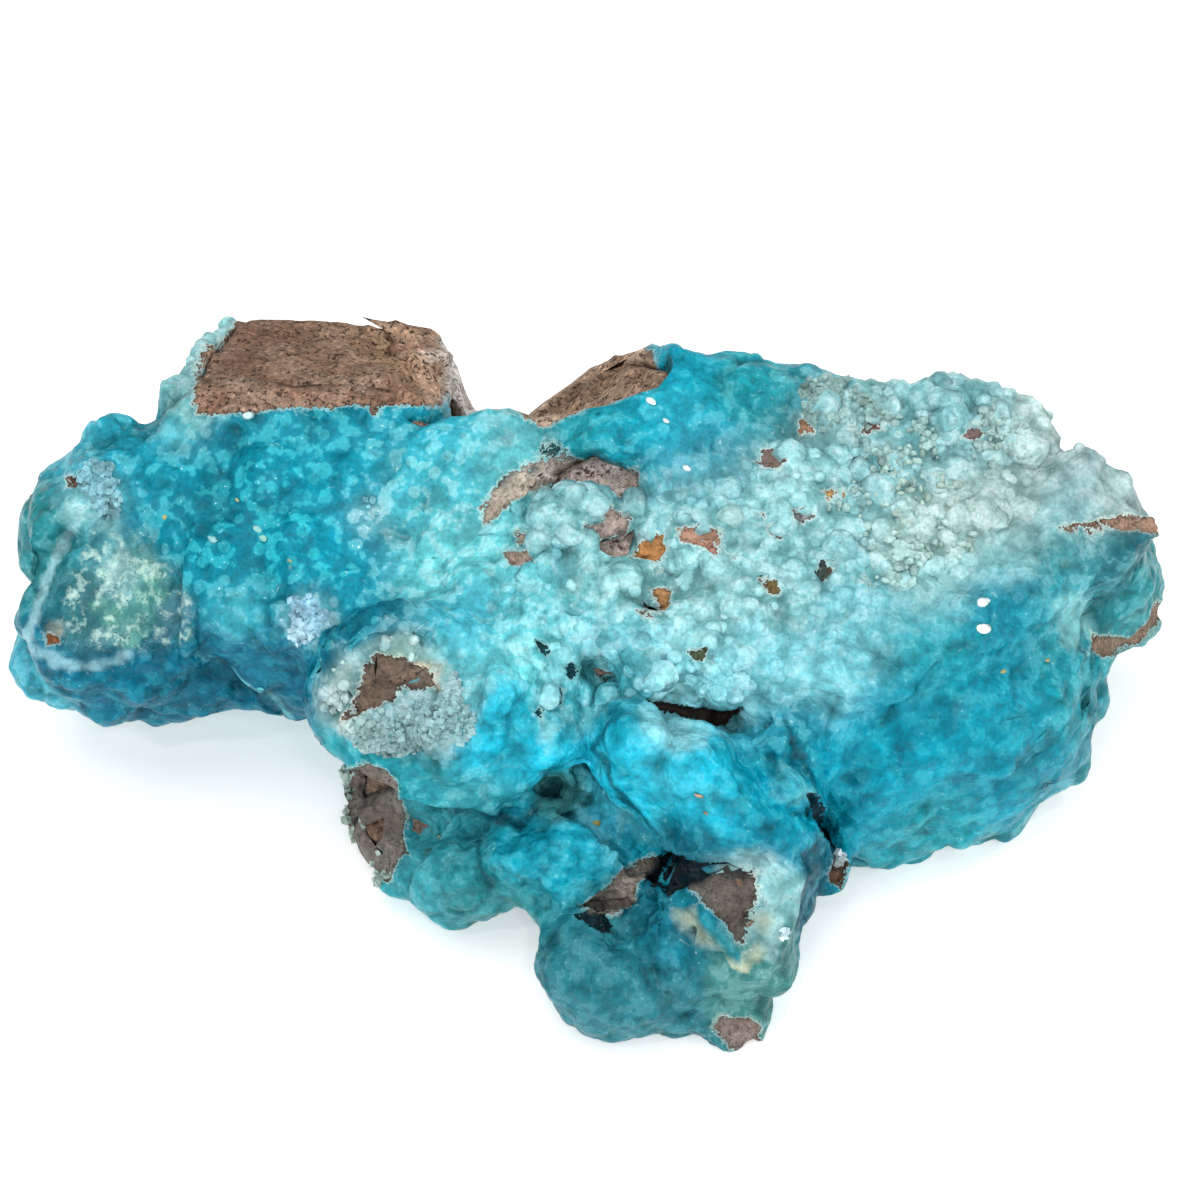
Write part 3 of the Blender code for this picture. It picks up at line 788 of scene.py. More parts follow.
def set_values(mesh, name, values):
    """Keeps a number for each point of the mesh, for its material."""
    mesh.attributes.new(name, "FLOAT", "POINT").data.foreach_set("value", values.astype(np.float32))


def set_colours(mesh, name, colours):
    """Keeps a linear colour for each point of the mesh, for its material."""
    held = mesh.color_attributes.new(name, "FLOAT_COLOR", "POINT")
    held.data.foreach_set("color", np.c_[colours, np.ones(len(colours))].astype(np.float32).ravel())


def painted(points, places, zones, base):
    """The blend of the zones at each point, by nearness: colour, cloud and grape."""
    table = np.array([(*linear(HUES[zone.colour])[:3], zone.cloud, zone.grape) for zone in zones])
    total = np.full(len(points), HIDDEN_SHARE)
    blend = np.outer(total, (*linear(base[0])[:3], *base[1:]))
    for place, zone, row in zip(places, zones, table):
        share = nearness(points, place, zone.reach * ZONE_SPREAD)
        total += share
        blend += share[:, None] * row
    return blend / total[:, None]


def shifted(points, moves):
    """Moves points right and up as seen, by a bell curve of their distance to each place."""
    moved = points.copy()
    for place, move in moves:
        away = np.array((1.0, 0, 0)) * move.right + np.array(view_up) * move.up
        moved += np.outer(nearness(points, place, move.reach), away)
    return moved


crust = merged_copy("smithsonite_crust", "smithsonite")
rock_node = merged_copy("matrix", "rock_in_mm")
graph = bpy.context.evaluated_depsgraph_get()
nodes = [BVHTree.FromObject(crust, graph), BVHTree.FromObject(rock_node, graph)]
filled = bmesh.new()
filled.from_mesh(crust.data)
for cord in CORDS.values():
    knots = all_seen(nodes, cord.places)
    for start, end in zip(knots, knots[1:]):
        for share in np.linspace(0, 1, 2 + int(np.linalg.norm(end - start) / cord.half * CORD_BALLS)):
            middle = Vector(start + share * (end - start))
            ball = bmesh.ops.create_icosphere(filled, subdivisions=2, radius=cord.half)
            bmesh.ops.translate(filled, verts=ball["verts"], vec=middle)
filled.to_mesh(crust.data)
filled.free()
on_grid(crust, CRUST_GRID)
relaxed(crust, 3)

# The inside wall, which lies against the rock, is thinned first.
beside = crust.vertex_groups.new(name="beside_rock")
beside.add(list(range(len(crust.data.vertices))), 1.0, "REPLACE")
near_rock = crust.modifiers.new("Near rock", "VERTEX_WEIGHT_PROXIMITY")
near_rock.vertex_group = "beside_rock"
near_rock.target = rock_node
near_rock.proximity_mode = "GEOMETRY"
near_rock.proximity_geometry = {"FACE"}
near_rock.min_dist = ROCK_REACH
near_rock.max_dist = ROCK_TOUCH
settle(crust)
thinned(crust, CRUST_SHOWN, "beside_rock")
bpy.data.objects.remove(rock_node)

shown = [BVHTree.FromObject(crust, bpy.context.evaluated_depsgraph_get())]
lines = [(all_seen(shown, line.places), line) for line in LINES.values()]
moves = [(seen_at(shown, move.column, move.row), move) for move in SHIFTS.values()]
moves = [(place, move) for place, move in moves if place is not None]
weights = np.array([vertex.groups[0].weight if vertex.groups else 0 for vertex in crust.data.vertices])
outside = 1 - smooth_step(weights, *INSIDE)
skin = points_of(crust.data)
torn = [ripple(skin, TEAR_WIDTH, seed) + 0.5 * ripple(skin, 1.0, seed + 3) for seed in (31, 32, 33)]
torn = EDGE_TEAR * smooth_step(weights, *TORN)[:, None] * np.stack(torn, axis=1)
skin = shifted(pressed(skin, lines), moves) + torn
move_points(crust.data, skin)
outward = normals_of(crust.data)

shown = [BVHTree.FromObject(crust, bpy.context.evaluated_depsgraph_get())]
zones = [zone for zone in ZONES.values() if seen_at(shown, zone.column, zone.row)]
places = [seen_at(shown, zone.column, zone.row) for zone in zones]
blend = painted(skin, places, zones, HIDDEN)
tint, cloud = blend[:, :3], blend[:, 3]
grape, calm = np.clip(blend[:, 4], 0, 1), np.clip(-blend[:, 4], 0, 1)

# The balls: broad ones under everything, pea-sized ones where the skin is even, small grapes where it is not.
# Each kind less its mean height, so that the skin keeps its place.
broad = domes(skin, BROAD_BALL, 1)
pea = domes(skin, PEA_BALL, 2)
grapes = domes(skin, GRAPE_BALL, 4)
beads = domes(skin, BEAD_BALL, 5)
lift = BROAD_RISE * (broad - 0.7) + WAVE_RISE * ripple(skin, WAVE_WIDTH, 6)
lift += (1 - grape) * (PEA_RISE * (pea - 0.75) + BEAD_RISE[0] * (beads - 0.7))
lift += grape * (GRAPE_RISE * (grapes - 0.8) + BEAD_RISE[1] * (beads - 0.7))
lift *= 1 - CALM * calm

# The breaks, the stripes and the patches, each tested as it is seen and kept to the skin about its middle.
bare = np.zeros(len(skin))
sunk = np.zeros(len(skin))
stain = np.zeros((len(skin), 3))
stained = np.full(len(skin), 1e-9)
speckled = np.zeros(len(skin))
seen_places = column_and_row(skin)
for patch in BREAKS.values():
    spots = all_seen(shown, patch.outline)
    middle = np.mean(spots, axis=0)
    reach = max(np.linalg.norm(spot - middle) for spot in spots)
    reach += DEEP_MARGIN if patch.depth else FLAT_MARGIN
    facing = (outward @ np.array(view_back) > TURNED_AWAY) | (patch.depth == 0)
    near = np.flatnonzero((((skin - middle) ** 2).sum(axis=1) < reach**2) & facing)
    openness = np.clip(0.5 + depth_inside(seen_places[near], patch.outline) / (2 * BREAK_EDGE), 0, 1)
    sunk[near] = np.maximum(sunk[near], patch.depth * smooth_step(openness, *OPENING))
    bare[near] = np.maximum(bare[near], openness)
    weight = openness**STAIN_POWER
    stain[near] += weight[:, None] * np.array(linear(patch.colour)[:3])
    stained[near] += weight
    speckled[near] += weight * (ROOT_SPECKLE if patch.depth else 1.0)
stain /= stained[:, None]
lip = smooth_step(bare, *LIP_INSIDE) * (1 - smooth_step(bare, *LIP_OUTSIDE))
lift = lift * (1 - BARE_CALM * smooth_step(bare, *OPENING)) + LIP_RISE * lip - sunk
for stripe in STRIPES.values():
    near = np.flatnonzero(from_line(skin, all_seen(shown, stripe.places)) < stripe.half + STRIPE_SLACK)
    away = from_line(seen_places[near], np.array(stripe.places, dtype=float)) / (PLACES_PER_MM * stripe.half)
    wander = 0.7 * ripple(skin[near], RAGGED[0], 21) + 0.5 * ripple(skin[near], RAGGED[1], 23)
    away += min(1.0, stripe.half) * wander
    share = PAINT * (1 - smooth_step(away, *STRIPE_EDGE))
    tint[near] += share[:, None] * (np.array(linear(stripe.colour)[:3]) - tint[near])
    cloud[near] *= 1 - STRIPE_CLEARS * share
middle = np.mean(all_seen(shown, FLAKY), axis=0)
flaky = smooth_step(depth_inside(seen_places, FLAKY) / PATCH_EDGE, -0.5, 0.8)
flaky *= ((skin - middle) ** 2).sum(axis=1) < PATCH_REACH**2
for patch in PATCHES.values():
    middle = np.mean(all_seen(shown, patch.outline), axis=0)
    near = np.flatnonzero(((skin - middle) ** 2).sum(axis=1) < PATCH_REACH**2)
    inside = depth_inside(seen_places[near], patch.outline) / PATCH_EDGE
    inside += 0.5 * ripple(skin[near], RAGGED[0], 27) + 0.4 * ripple(skin[near], RAGGED[1], 28)
    blotches = 0.45 + 0.45 * smooth_step(ripple(skin[near], BLOTCH_WIDTH, 29), -0.4, 0.2)
    share = smooth_step(inside, -0.3, 0.3) * blotches
    tint[near] += share[:, None] * (np.array(linear(patch.colour)[:3]) - tint[near])
    cloud[near] *= 1 - PATCH_CLEARS * share
grown = skin + outward * (lift * outside)[:, None]
grown[:, 2] = np.maximum(grown[:, 2], 0.0)  # the specimen rests on its flat cut
move_points(crust.data, grown)

# How near each point is to the tip of a ball, by which the material paints the tips lighter and the clefts
# between the balls darker, as painted light and shade; the weights add up to 1.
tip = (1 - grape) * (0.40 * pea + 0.25 * beads + 0.35 * broad)
tip += grape * (0.65 * grapes + 0.20 * beads + 0.15 * broad)
set_colours(crust.data, "tint", tint)
set_colours(crust.data, "stain", stain)
for name, values in (("cloud", cloud), ("tip", tip), ("bare", bare), ("grain", grape), ("flaky", flaky)):
    set_values(crust.data, name, values)
set_values(crust.data, "speckled", speckled / stained)
crust.data.transform(Matrix.Scale(MM, 4))
crust.data.shade_smooth()

# Smithsonite, grown as fine radiating needles: a waxy, half-clear skin with a wet shine on the tip of every
# ball, cloudy where the needles are loose and deep blue-green where they are tight.
HELD_COLOURS = ("tint", "stain")  # what the skin keeps for each point
HELD_VALUES = ("cloud", "tip", "bare", "grain", "flaky", "speckled")
# the colour of the painted shade in the gaps between the beads and the peas
GAP_SHADE_COLOUR = "#2E6F70"
CRACK_COLOUR = "#173F42"
RIM_COLOUR = "#E6DFCB"
FLAKE_TONES = ((0.50, 0.60, "#B9DDD2", 0.5), (0.50, 0.40, "#2F6E76", 0.55), (0.60, 0.66, "#CFEBDD", 0.45))
FINISH = {"IOR": 1.62, "Specular IOR Level": 0.04, "Coat Weight": 0.10, "Coat Roughness": 0.10}
PALER = 0.50  # gamma that turns a colour of the skin into that of its cloudy balls
MILKINESS = 0.95
# the near-white of the sugary grains, which also serve as painted glints, and of the milkiest grapes
FROST_AND_GLINT = "#D8F4F6"
# Painted shade: the clefts between the balls are painted darker, down to this share, and the tips lighter.
CLEFT_SHADE = 0.45  # how dark the clefts between the balls are
CLOUD_WIDTH = 2.3  # mm, the clouds in the skin
PEA_WIDTH = 2.4
BEAD_WIDTH = 1.05
SUGAR_WIDTH = 0.50  # the finest grains that show
FLAKE_WIDTH = 1.7
PULL_WIDTH = 1.6
PULL = 0.6  # mm that the beads are pulled out of shape
RELIEF = 0.8  # mm, the height of the bump

smithsonite = bpy.data.materials.new("botryoidal_smithsonite")
smithsonite.use_nodes = True
tree = smithsonite.node_tree
shader = tree.nodes["Principled BSDF"]
place = add(tree, "ShaderNodeTexCoord").outputs["Object"]
tint_at, stain_at = (
    add(tree, "ShaderNodeAttribute", attribute_name=name).outputs["Color"] for name in HELD_COLOURS
)
cloud_at, tip_at, bare_at, grain_at, flaky_at, speckled_at = (
    add(tree, "ShaderNodeAttribute", attribute_name=name).outputs["Fac"] for name in HELD_VALUES
)

drift = add(
    tree, "ShaderNodeTexNoise",
    {"Vector": place, "Scale": per_mm(CLOUD_WIDTH), "Detail": 2, "Roughness": 0.55},
)
puff = add(tree, "ShaderNodeMapRange", {"Value": drift.outputs["Fac"], "From Min": 0.52, "From Max": 0.58})
peas = add(tree, "ShaderNodeTexVoronoi", {"Vector": place, "Scale": per_mm(PEA_WIDTH)})
crown = add(
    tree, "ShaderNodeMapRange", {"Value": peas.outputs["Distance"], "From Min": 0.38, "From Max": 0.29}
)
chosen = add(tree, "ShaderNodeSeparateColor", {"Color": peas.outputs["Color"]})
kept = add(tree, "ShaderNodeMapRange", {"Value": chosen.outputs["Red"], "From Min": 0.45, "From Max": 0.55})
milky = add(tree, "ShaderNodeMath", {0: crown.outputs[0], 1: kept.outputs[0]}, operation="MULTIPLY")
milky = add(tree, "ShaderNodeMath", {0: milky.outputs[0], 1: puff.outputs[0]}, operation="MAXIMUM")
milky = add(tree, "ShaderNodeMath", {0: milky.outputs[0], 1: cloud_at}, operation="MULTIPLY")
milky = add(tree, "ShaderNodeMath", {0: milky.outputs[0], 1: MILKINESS}, operation="MULTIPLY")
paler = add(tree, "ShaderNodeGamma", {"Color": tint_at, "Gamma": PALER})
colour = mixed(tree, milky.outputs[0], tint_at, paler.outputs[0])
deep = add(
    tree, "ShaderNodeMapRange",
    {"Value": drift.outputs["Fac"], "From Min": 0.36, "From Max": 0.50, "To Min": 0.74, "To Max": 1.0},
)
colour = mixed(tree, 1.0, colour, deep.outputs[0], "MULTIPLY")
# Painted shade and light: darker in the clefts between the balls, lighter on their tips.
shade = add(
    tree, "ShaderNodeMapRange",
    {"Value": tip_at, "From Min": 0.25, "From Max": 0.85, "To Min": CLEFT_SHADE, "To Max": 1.10},
)
colour = mixed(tree, 1.0, colour, shade.outputs[0], "MULTIPLY")

# Small beads, pulled out of shape as grown ones are; where the skin is a crowd of grapes, the gaps between
# the beads and between the peas are painted dark, as painted shade.
pull = add(
    tree, "ShaderNodeTexNoise",
    {"Vector": place, "Scale": per_mm(PULL_WIDTH), "Detail": 2, "Roughness": 0.6},
)
pull = add(
    tree, "ShaderNodeVectorMath", {0: pull.outputs["Color"], 1: (PULL * MM,) * 3, 2: place},
    operation="MULTIPLY_ADD",
)
beads = add(tree, "ShaderNodeTexVoronoi", {"Vector": pull.outputs[0], "Scale": per_mm(BEAD_WIDTH)})
gap = add(
    tree, "ShaderNodeMapRange",
    {"Value": beads.outputs["Distance"], "From Min": 0.52, "From Max": 0.66, "To Max": 0.32},
)
crease = add(
    tree, "ShaderNodeMapRange",
    {"Value": peas.outputs["Distance"], "From Min": 0.46, "From Max": 0.62, "To Max": 0.45},
)
gap = add(tree, "ShaderNodeMath", {0: gap.outputs[0], 1: crease.outputs[0]}, operation="MAXIMUM")
gap = add(tree, "ShaderNodeMath", {0: gap.outputs[0], 1: grain_at}, operation="MULTIPLY")
colour = mixed(tree, gap.outputs[0], colour, linear(GAP_SHADE_COLOUR))
sugar = add(
    tree, "ShaderNodeTexNoise",
    {"Vector": place, "Scale": per_mm(SUGAR_WIDTH), "Detail": 2, "Roughness": 0.65},
)
fleck = add(
    tree, "ShaderNodeMapRange",
    {"Value": sugar.outputs["Fac"], "From Min": 0.35, "From Max": 0.65, "To Min": 0.88, "To Max": 1.10},
)
colour = mixed(tree, 1.0, colour, fleck.outputs[0], "MULTIPLY")

# Flakes on the broken face: three tones, with dark cracks along some of their edges.
flakes = add(
    tree, "ShaderNodeTexNoise",
    {"Vector": place, "Scale": per_mm(FLAKE_WIDTH), "Detail": 4, "Roughness": 0.62},
)
for low, high, hue, most in FLAKE_TONES:
    share = add(
        tree, "ShaderNodeMapRange",
        {"Value": flakes.outputs["Fac"], "From Min": low, "From Max": high, "To Max": most},
    )
    share = add(tree, "ShaderNodeMath", {0: share.outputs[0], 1: flaky_at}, operation="MULTIPLY")
    colour = mixed(tree, share.outputs[0], colour, linear(hue))
crack = add(tree, "ShaderNodeMath", {0: flakes.outputs["Fac"], 1: 0.525}, operation="SUBTRACT")
crack = add(tree, "ShaderNodeMath", {0: crack.outputs[0]}, operation="ABSOLUTE")
crack = add(tree, "ShaderNodeMapRange", {"Value": crack.outputs[0], "From Min": 0.012, "From Max": 0.003})
torn_at = add(tree, "ShaderNodeMapRange", {"Value": drift.outputs["Fac"], "From Min": 0.48, "From Max": 0.54})
crack = add(tree, "ShaderNodeMath", {0: crack.outputs[0], 1: torn_at.outputs[0]}, operation="MULTIPLY")
crack = add(tree, "ShaderNodeMath", {0: crack.outputs[0], 1: flaky_at}, operation="MULTIPLY")
colour = mixed(tree, crack.outputs[0], colour, linear(CRACK_COLOUR))

# Sugary grains on the milky balls, near-white, which also stand as painted glints of light.
frost = add(tree, "ShaderNodeMapRange", {"Value": sugar.outputs["Fac"], "From Min": 0.66, "From Max": 0.72})
frost = add(tree, "ShaderNodeMath", {0: frost.outputs[0], 1: milky.outputs[0]}, operation="MULTIPLY")
colour = mixed(tree, frost.outputs[0], colour, linear(FROST_AND_GLINT))

# A broken edge: a ragged line, pale on the crust's side, with a painted shadow on the side of the rock.
edge = add(tree, "ShaderNodeMath", {0: drift.outputs["Fac"], 1: sugar.outputs["Fac"]}, operation="ADD")
edge = add(tree, "ShaderNodeMath", {0: edge.outputs[0], 1: 0.62, 2: bare_at}, operation="MULTIPLY_ADD")
rim = add(
    tree, "ShaderNodeMapRange",
    {"Value": edge.outputs[0], "From Min": 0.92, "From Max": 1.09, "To Max": 0.65},
)
lit = add(tree, "ShaderNodeRGBToBW", {"Color": stain_at})
lit = add(tree, "ShaderNodeMapRange", {"Value": lit.outputs[0], "From Min": 0.03, "From Max": 0.12})
rim = add(tree, "ShaderNodeMath", {0: rim.outputs[0], 1: lit.outputs[0]}, operation="MULTIPLY")
rim_colour = mixed(tree, 0.45, paler.outputs[0], linear(RIM_COLOUR))
colour = mixed(tree, rim.outputs[0], colour, rim_colour)
ground = mixed(tree, speckled_at, stain_at, rock_colour(tree, place, stain_at))
# Painted shadow: the floor of a break is darkened just inside its edge, under the lip.
under = add(
    tree, "ShaderNodeMapRange",
    {"Value": edge.outputs[0], "From Min": 1.13, "From Max": 1.28, "To Min": 0.40, "To Max": 1.0},
)
ground = mixed(tree, 1.0, ground, under.outputs[0], "MULTIPLY")
opened = add(tree, "ShaderNodeMapRange", {"Value": edge.outputs[0], "From Min": 1.10, "From Max": 1.13})
colour = mixed(tree, opened.outputs[0], colour, ground)
tree.links.new(colour, shader.inputs["Base Color"])
gloss = add(tree, "ShaderNodeMapRange", {"Value": opened.outputs[0], "To Min": 0.28, "To Max": 0.85})
tree.links.new(gloss.outputs[0], shader.inputs["Roughness"])
for name, value in FINISH.items():
    shader.inputs[name].default_value = value
rise = add(
    tree, "ShaderNodeMath", {0: beads.outputs["Distance"], 1: 0.40, 2: peas.outputs["Distance"]},
    operation="MULTIPLY_ADD",
)
rise = add(
    tree, "ShaderNodeMath", {0: sugar.outputs["Fac"], 1: -0.30, 2: rise.outputs[0]},
    operation="MULTIPLY_ADD",
)
bump = add(
    tree, "ShaderNodeBump", {"Height": rise.outputs[0], "Strength": 0.9, "Distance": RELIEF * MM},
    invert=True,
)
tree.links.new(bump.outputs["Normal"], shader.inputs["Normal"])
crust.data.materials.append(smithsonite)
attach(crust, "root")
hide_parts("smithsonite_crust")

# ---- The host rock -------------------------------------------------------------------------------
# A broken block of brown, iron-stained limestone. The crust grew over it, and it shows where the crust has
# broken away: along the back, in the windows of the top and on the broken ends of the knobs.

ROCK_GRID = 0.6  # mm between the points of the rock's skin
ROCK_SHOWN = 70000  # triangles
ROCK_RELIEF = ((7.0, 0.55), (2.4, 0.28), (1.0, 0.13))  # width and height of the rock's roughness, mm
ROCK_TOP = 0.3  # mm that the roughness stands out at most, so that it stays under the crust
PIT_WIDTH = 2.6  # the pits that weathering left, mm
PIT_DEPTH = 0.55
PITTED_WIDTH = 6  # the stretches that have them
GRIT_WIDTH = 0.6
GRIT_RELIEF = 0.6
ROCK_FINISH = {"Roughness": 0.88, "Specular IOR Level": 0.25}
ROCK_COLOUR = "#7F6B5E"

# A spot of colour: where its middle is seen, its reach in mm and its colour.
Spot = namedtuple("Spot", "column row reach colour")
ROCK_SPREAD = 1.25
ROCK_SPOTS = {
    "slab left": Spot(235, 360, 6, "#8C7263"),
    "slab middle": Spot(300, 365, 6, "#8E725E"),
    "slab middle right": Spot(345, 375, 6, "#9E8674"),
    "slab right": Spot(410, 355, 5, "#A08668"),
    "slab foot": Spot(390, 390, 4, "#967B6B"),
    "mid back": Spot(590, 390, 6, "#A88F7A"),
    "arc": Spot(590, 480, 5, "#B0A29C"),
    "taupe": Spot(612, 525, 4, "#AB9890"),
}

rock = merged_copy("matrix", "host_rock")
on_grid(rock, ROCK_GRID)
relaxed(rock, 2)
move_points(rock.data, shifted(pressed(points_of(rock.data), lines), moves))
skin = points_of(rock.data)
lift = sum(height * ripple(skin, width, 3 + i) for i, (width, height) in enumerate(ROCK_RELIEF))
pits = smooth_step(domes(skin, PIT_WIDTH, 9), 0.55, 0.9)
pits *= smooth_step(ripple(skin, PITTED_WIDTH, 8), -0.1, 0.4)
lift -= PIT_DEPTH * pits
grown = skin + normals_of(rock.data) * np.minimum(lift, ROCK_TOP)[:, None]
grown[:, 2] = np.maximum(grown[:, 2], 0.0)
move_points(rock.data, grown)
thinned(rock, ROCK_SHOWN)
shown.append(BVHTree.FromObject(rock, bpy.context.evaluated_depsgraph_get()))
rock.data.transform(Matrix.Scale(MM, 4))
rock.data.shade_smooth()


def covered(points, spots, spread, base="#000000", least=0.0):
    """How near each point is to the spots, summed, and the blend of their colours by nearness."""
    cover = np.full(len(points), least)
    blend = np.outer(cover, linear(base)[:3])
    for spot in spots.values():
        middle = seen_at(shown, spot.column, spot.row)
        if middle is None:
            continue
        near = nearness(points, middle, spot.reach * spread)
        cover += near
        blend += np.outer(near, linear(spot.colour)[:3])
    return cover, blend / np.maximum(cover, 1e-9)[:, None]


skin = points_of(rock.data) / MM
_, rock_tint = covered(skin, ROCK_SPOTS, ROCK_SPREAD, ROCK_COLOUR, HIDDEN_SHARE)
set_colours(rock.data, "tint", rock_tint)

# Iron-stained limestone, broken and weathered: a dull, grainy brown that takes no shine.
rough_rock = bpy.data.materials.new("iron_stained_limestone")
rough_rock.use_nodes = True
tree = rough_rock.node_tree
shader = tree.nodes["Principled BSDF"]
place = add(tree, "ShaderNodeTexCoord").outputs["Object"]
tint_at = add(tree, "ShaderNodeAttribute", attribute_name="tint").outputs["Color"]
tree.links.new(rock_colour(tree, place, tint_at), shader.inputs["Base Color"])
for name, value in ROCK_FINISH.items():
    shader.inputs[name].default_value = value
grit = add(
    tree, "ShaderNodeTexNoise",
    {"Vector": place, "Scale": per_mm(GRIT_WIDTH), "Detail": 4, "Roughness": 0.7},
)
bump = add(
    tree, "ShaderNodeBump", {"Height": grit.outputs["Fac"], "Strength": 0.9, "Distance": GRIT_RELIEF * MM}
)
tree.links.new(bump.outputs["Normal"], shader.inputs["Normal"])
rock.data.materials.append(rough_rock)
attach(rock, "root")
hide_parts("matrix")

# ---- The grapes ----------------------------------------------------------------------------------
# Pale balls of smithsonite 1.5 to 4 mm across, crowded on the top and its rim, each half sunk in the skin
# that it grew from.

GRAPE_SPACING = 2.3
GRAPE_RADIUS = (0.8, 2.3)
GRAPE_RARITY = 1.3  # above 1, so that small grapes are commoner than large ones
GRAPE_STRETCH = (0.85, 1.15)
GRAPE_SINK = 0.62  # of the radius, below the skin
GRAPE_COVER = 0.80  # of the places on the crowded skin that carry a grape
CROWDED = (0.42, 0.75)  # how broken up the skin is where the grapes begin, and where they are in full number
GRAPE_BARE = 0.15  # how bare the skin may be under a grape
GRAPE_OUTSIDE = 0.9  # how clear of the inside wall it has to be
KNOB_COLUMN = 490  # the grapes on the knob, left of this column, are smaller
KNOB_GRAPE = 0.6  # their size against the rest
DENT_WIDTH = 1.2
GRAPE_DENT = 0.30  # how uneven a grape is, of its radius
GRAPE_GRAIN = 0.3
# Painted shade and light: each grape is painted darker towards the skin it sits in and lighter on its outward
# top.
GRAPE_SHADING = (0.55, 0.45)  # how pale it is at its middle, and how much more at its top
MILKIER = 0.18  # how much paler the palest grape is than the skin

roll = np.random.default_rng(7)


def one_per_cell(points, size):
    """The first point, in a shuffled order, of each cell of a lattice."""
    order = roll.permutation(len(points))
    cells = np.floor(points[order] / size).astype(int)
    return order[np.unique(cells, axis=0, return_index=True)[1]]


def ball_mesh(rounds):
    """The points and triangles of a ball of radius 1."""
    bm = bmesh.new()
    bmesh.ops.create_icosphere(bm, subdivisions=rounds, radius=1)
    corners = np.array([vert.co for vert in bm.verts])
    faces = np.array([[vert.index for vert in face.verts] for face in bm.faces])
    bm.free()
    return corners, faces


def turned_at_random(count):
    """Rotations, from random unit quaternions."""
    four = roll.normal(size=(count, 4))
    w, x, y, z = (four / np.linalg.norm(four, axis=1)[:, None]).T
    rows = [
        [1 - 2 * (y * y + z * z), 2 * (x * y - z * w), 2 * (x * z + y * w)],
        [2 * (x * y + z * w), 1 - 2 * (x * x + z * z), 2 * (y * z - x * w)],
        [2 * (x * z - y * w), 2 * (y * z + x * w), 1 - 2 * (x * x + y * y)],
    ]
    return np.array(rows).transpose(2, 0, 1)


def coated(obj, tint, stain, tip, cloud=0.0, grain=0.0):
    """Gives a small piece its colours and values at each point, and the crust's material."""
    count = len(obj.data.vertices)
    set_colours(obj.data, "tint", tint)
    set_colours(obj.data, "stain", stain)
    for name, value in (("cloud", cloud), ("tip", tip), ("bare", 0.0), ("grain", grain)):
        set_values(obj.data, name, np.broadcast_to(value, count))
    obj.data.materials.append(smithsonite)


def crowd(name, corners, faces, places, sizes):
    """One mesh of many copies of a shape, each turned at random, scaled by sizes and put at its place."""
    turned = np.einsum("nij,kj->nki", turned_at_random(len(places)), corners)
    shapes = turned * sizes[:, None, :] + places[:, None, :]
    flat = shapes.reshape(-1, 3)
    mesh = bpy.data.meshes.new(name)
    every = (faces[None] + np.arange(len(places))[:, None, None] * len(corners)).reshape(-1, faces.shape[1])
    mesh.from_pydata(flat.tolist(), [], every.tolist())
    made = bpy.data.objects.new(name, mesh)
    bpy.context.scene.collection.objects.link(made)
    return made, flat, turned


skin = points_of(crust.data) / MM
outward = normals_of(crust.data)
picked = one_per_cell(skin, GRAPE_SPACING)
crowded = GRAPE_COVER * smooth_step(grape[picked], *CROWDED)
sound = (bare[picked] < GRAPE_BARE) & (outside[picked] > GRAPE_OUTSIDE)
picked = picked[(crowded > roll.random(len(picked))) & sound]
radius = GRAPE_RADIUS[0] + (GRAPE_RADIUS[1] - GRAPE_RADIUS[0]) * roll.random(len(picked)) ** GRAPE_RARITY
radius *= np.where(column_and_row(skin[picked])[:, 0] < KNOB_COLUMN, KNOB_GRAPE, 1.0)
middles = skin[picked] - outward[picked] * (radius * GRAPE_SINK)[:, None]
corners, faces = ball_mesh(2)
sizes = radius[:, None] * roll.uniform(*GRAPE_STRETCH, (len(picked), 3))
grapes, flat, turned = crowd("grapes", corners, faces, middles, sizes)
dent = GRAPE_DENT * np.repeat(radius, len(corners)) * ripple(flat, DENT_WIDTH, 40)
move_points(grapes.data, (flat + dent[:, None] * turned.reshape(-1, 3)) * MM)
height = (turned * outward[picked][:, None, :]).sum(axis=2).ravel()
milkier = np.repeat(roll.random(len(picked)) * MILKIER, len(corners))[:, None]
own = np.repeat(tint[picked], len(corners), axis=0)
pale = own * (1 - milkier) + milkier * np.array(linear(FROST_AND_GLINT)[:3])
# Each grape's painted shade and light, by how far each point faces outward.
tip_shading = GRAPE_SHADING[0] + GRAPE_SHADING[1] * height
coated(grapes, pale, own, tip_shading, np.repeat(cloud[picked], len(corners)), GRAPE_GRAIN)
grapes.data.shade_smooth()
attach(grapes, "root")

# ---- The druse -----------------------------------------------------------------------------------
# Sparkling crusts of tiny pale rhombs, under a millimetre across. They line the broken edges and the
# windows, and grew last, on the balls and on the bare rock alike.

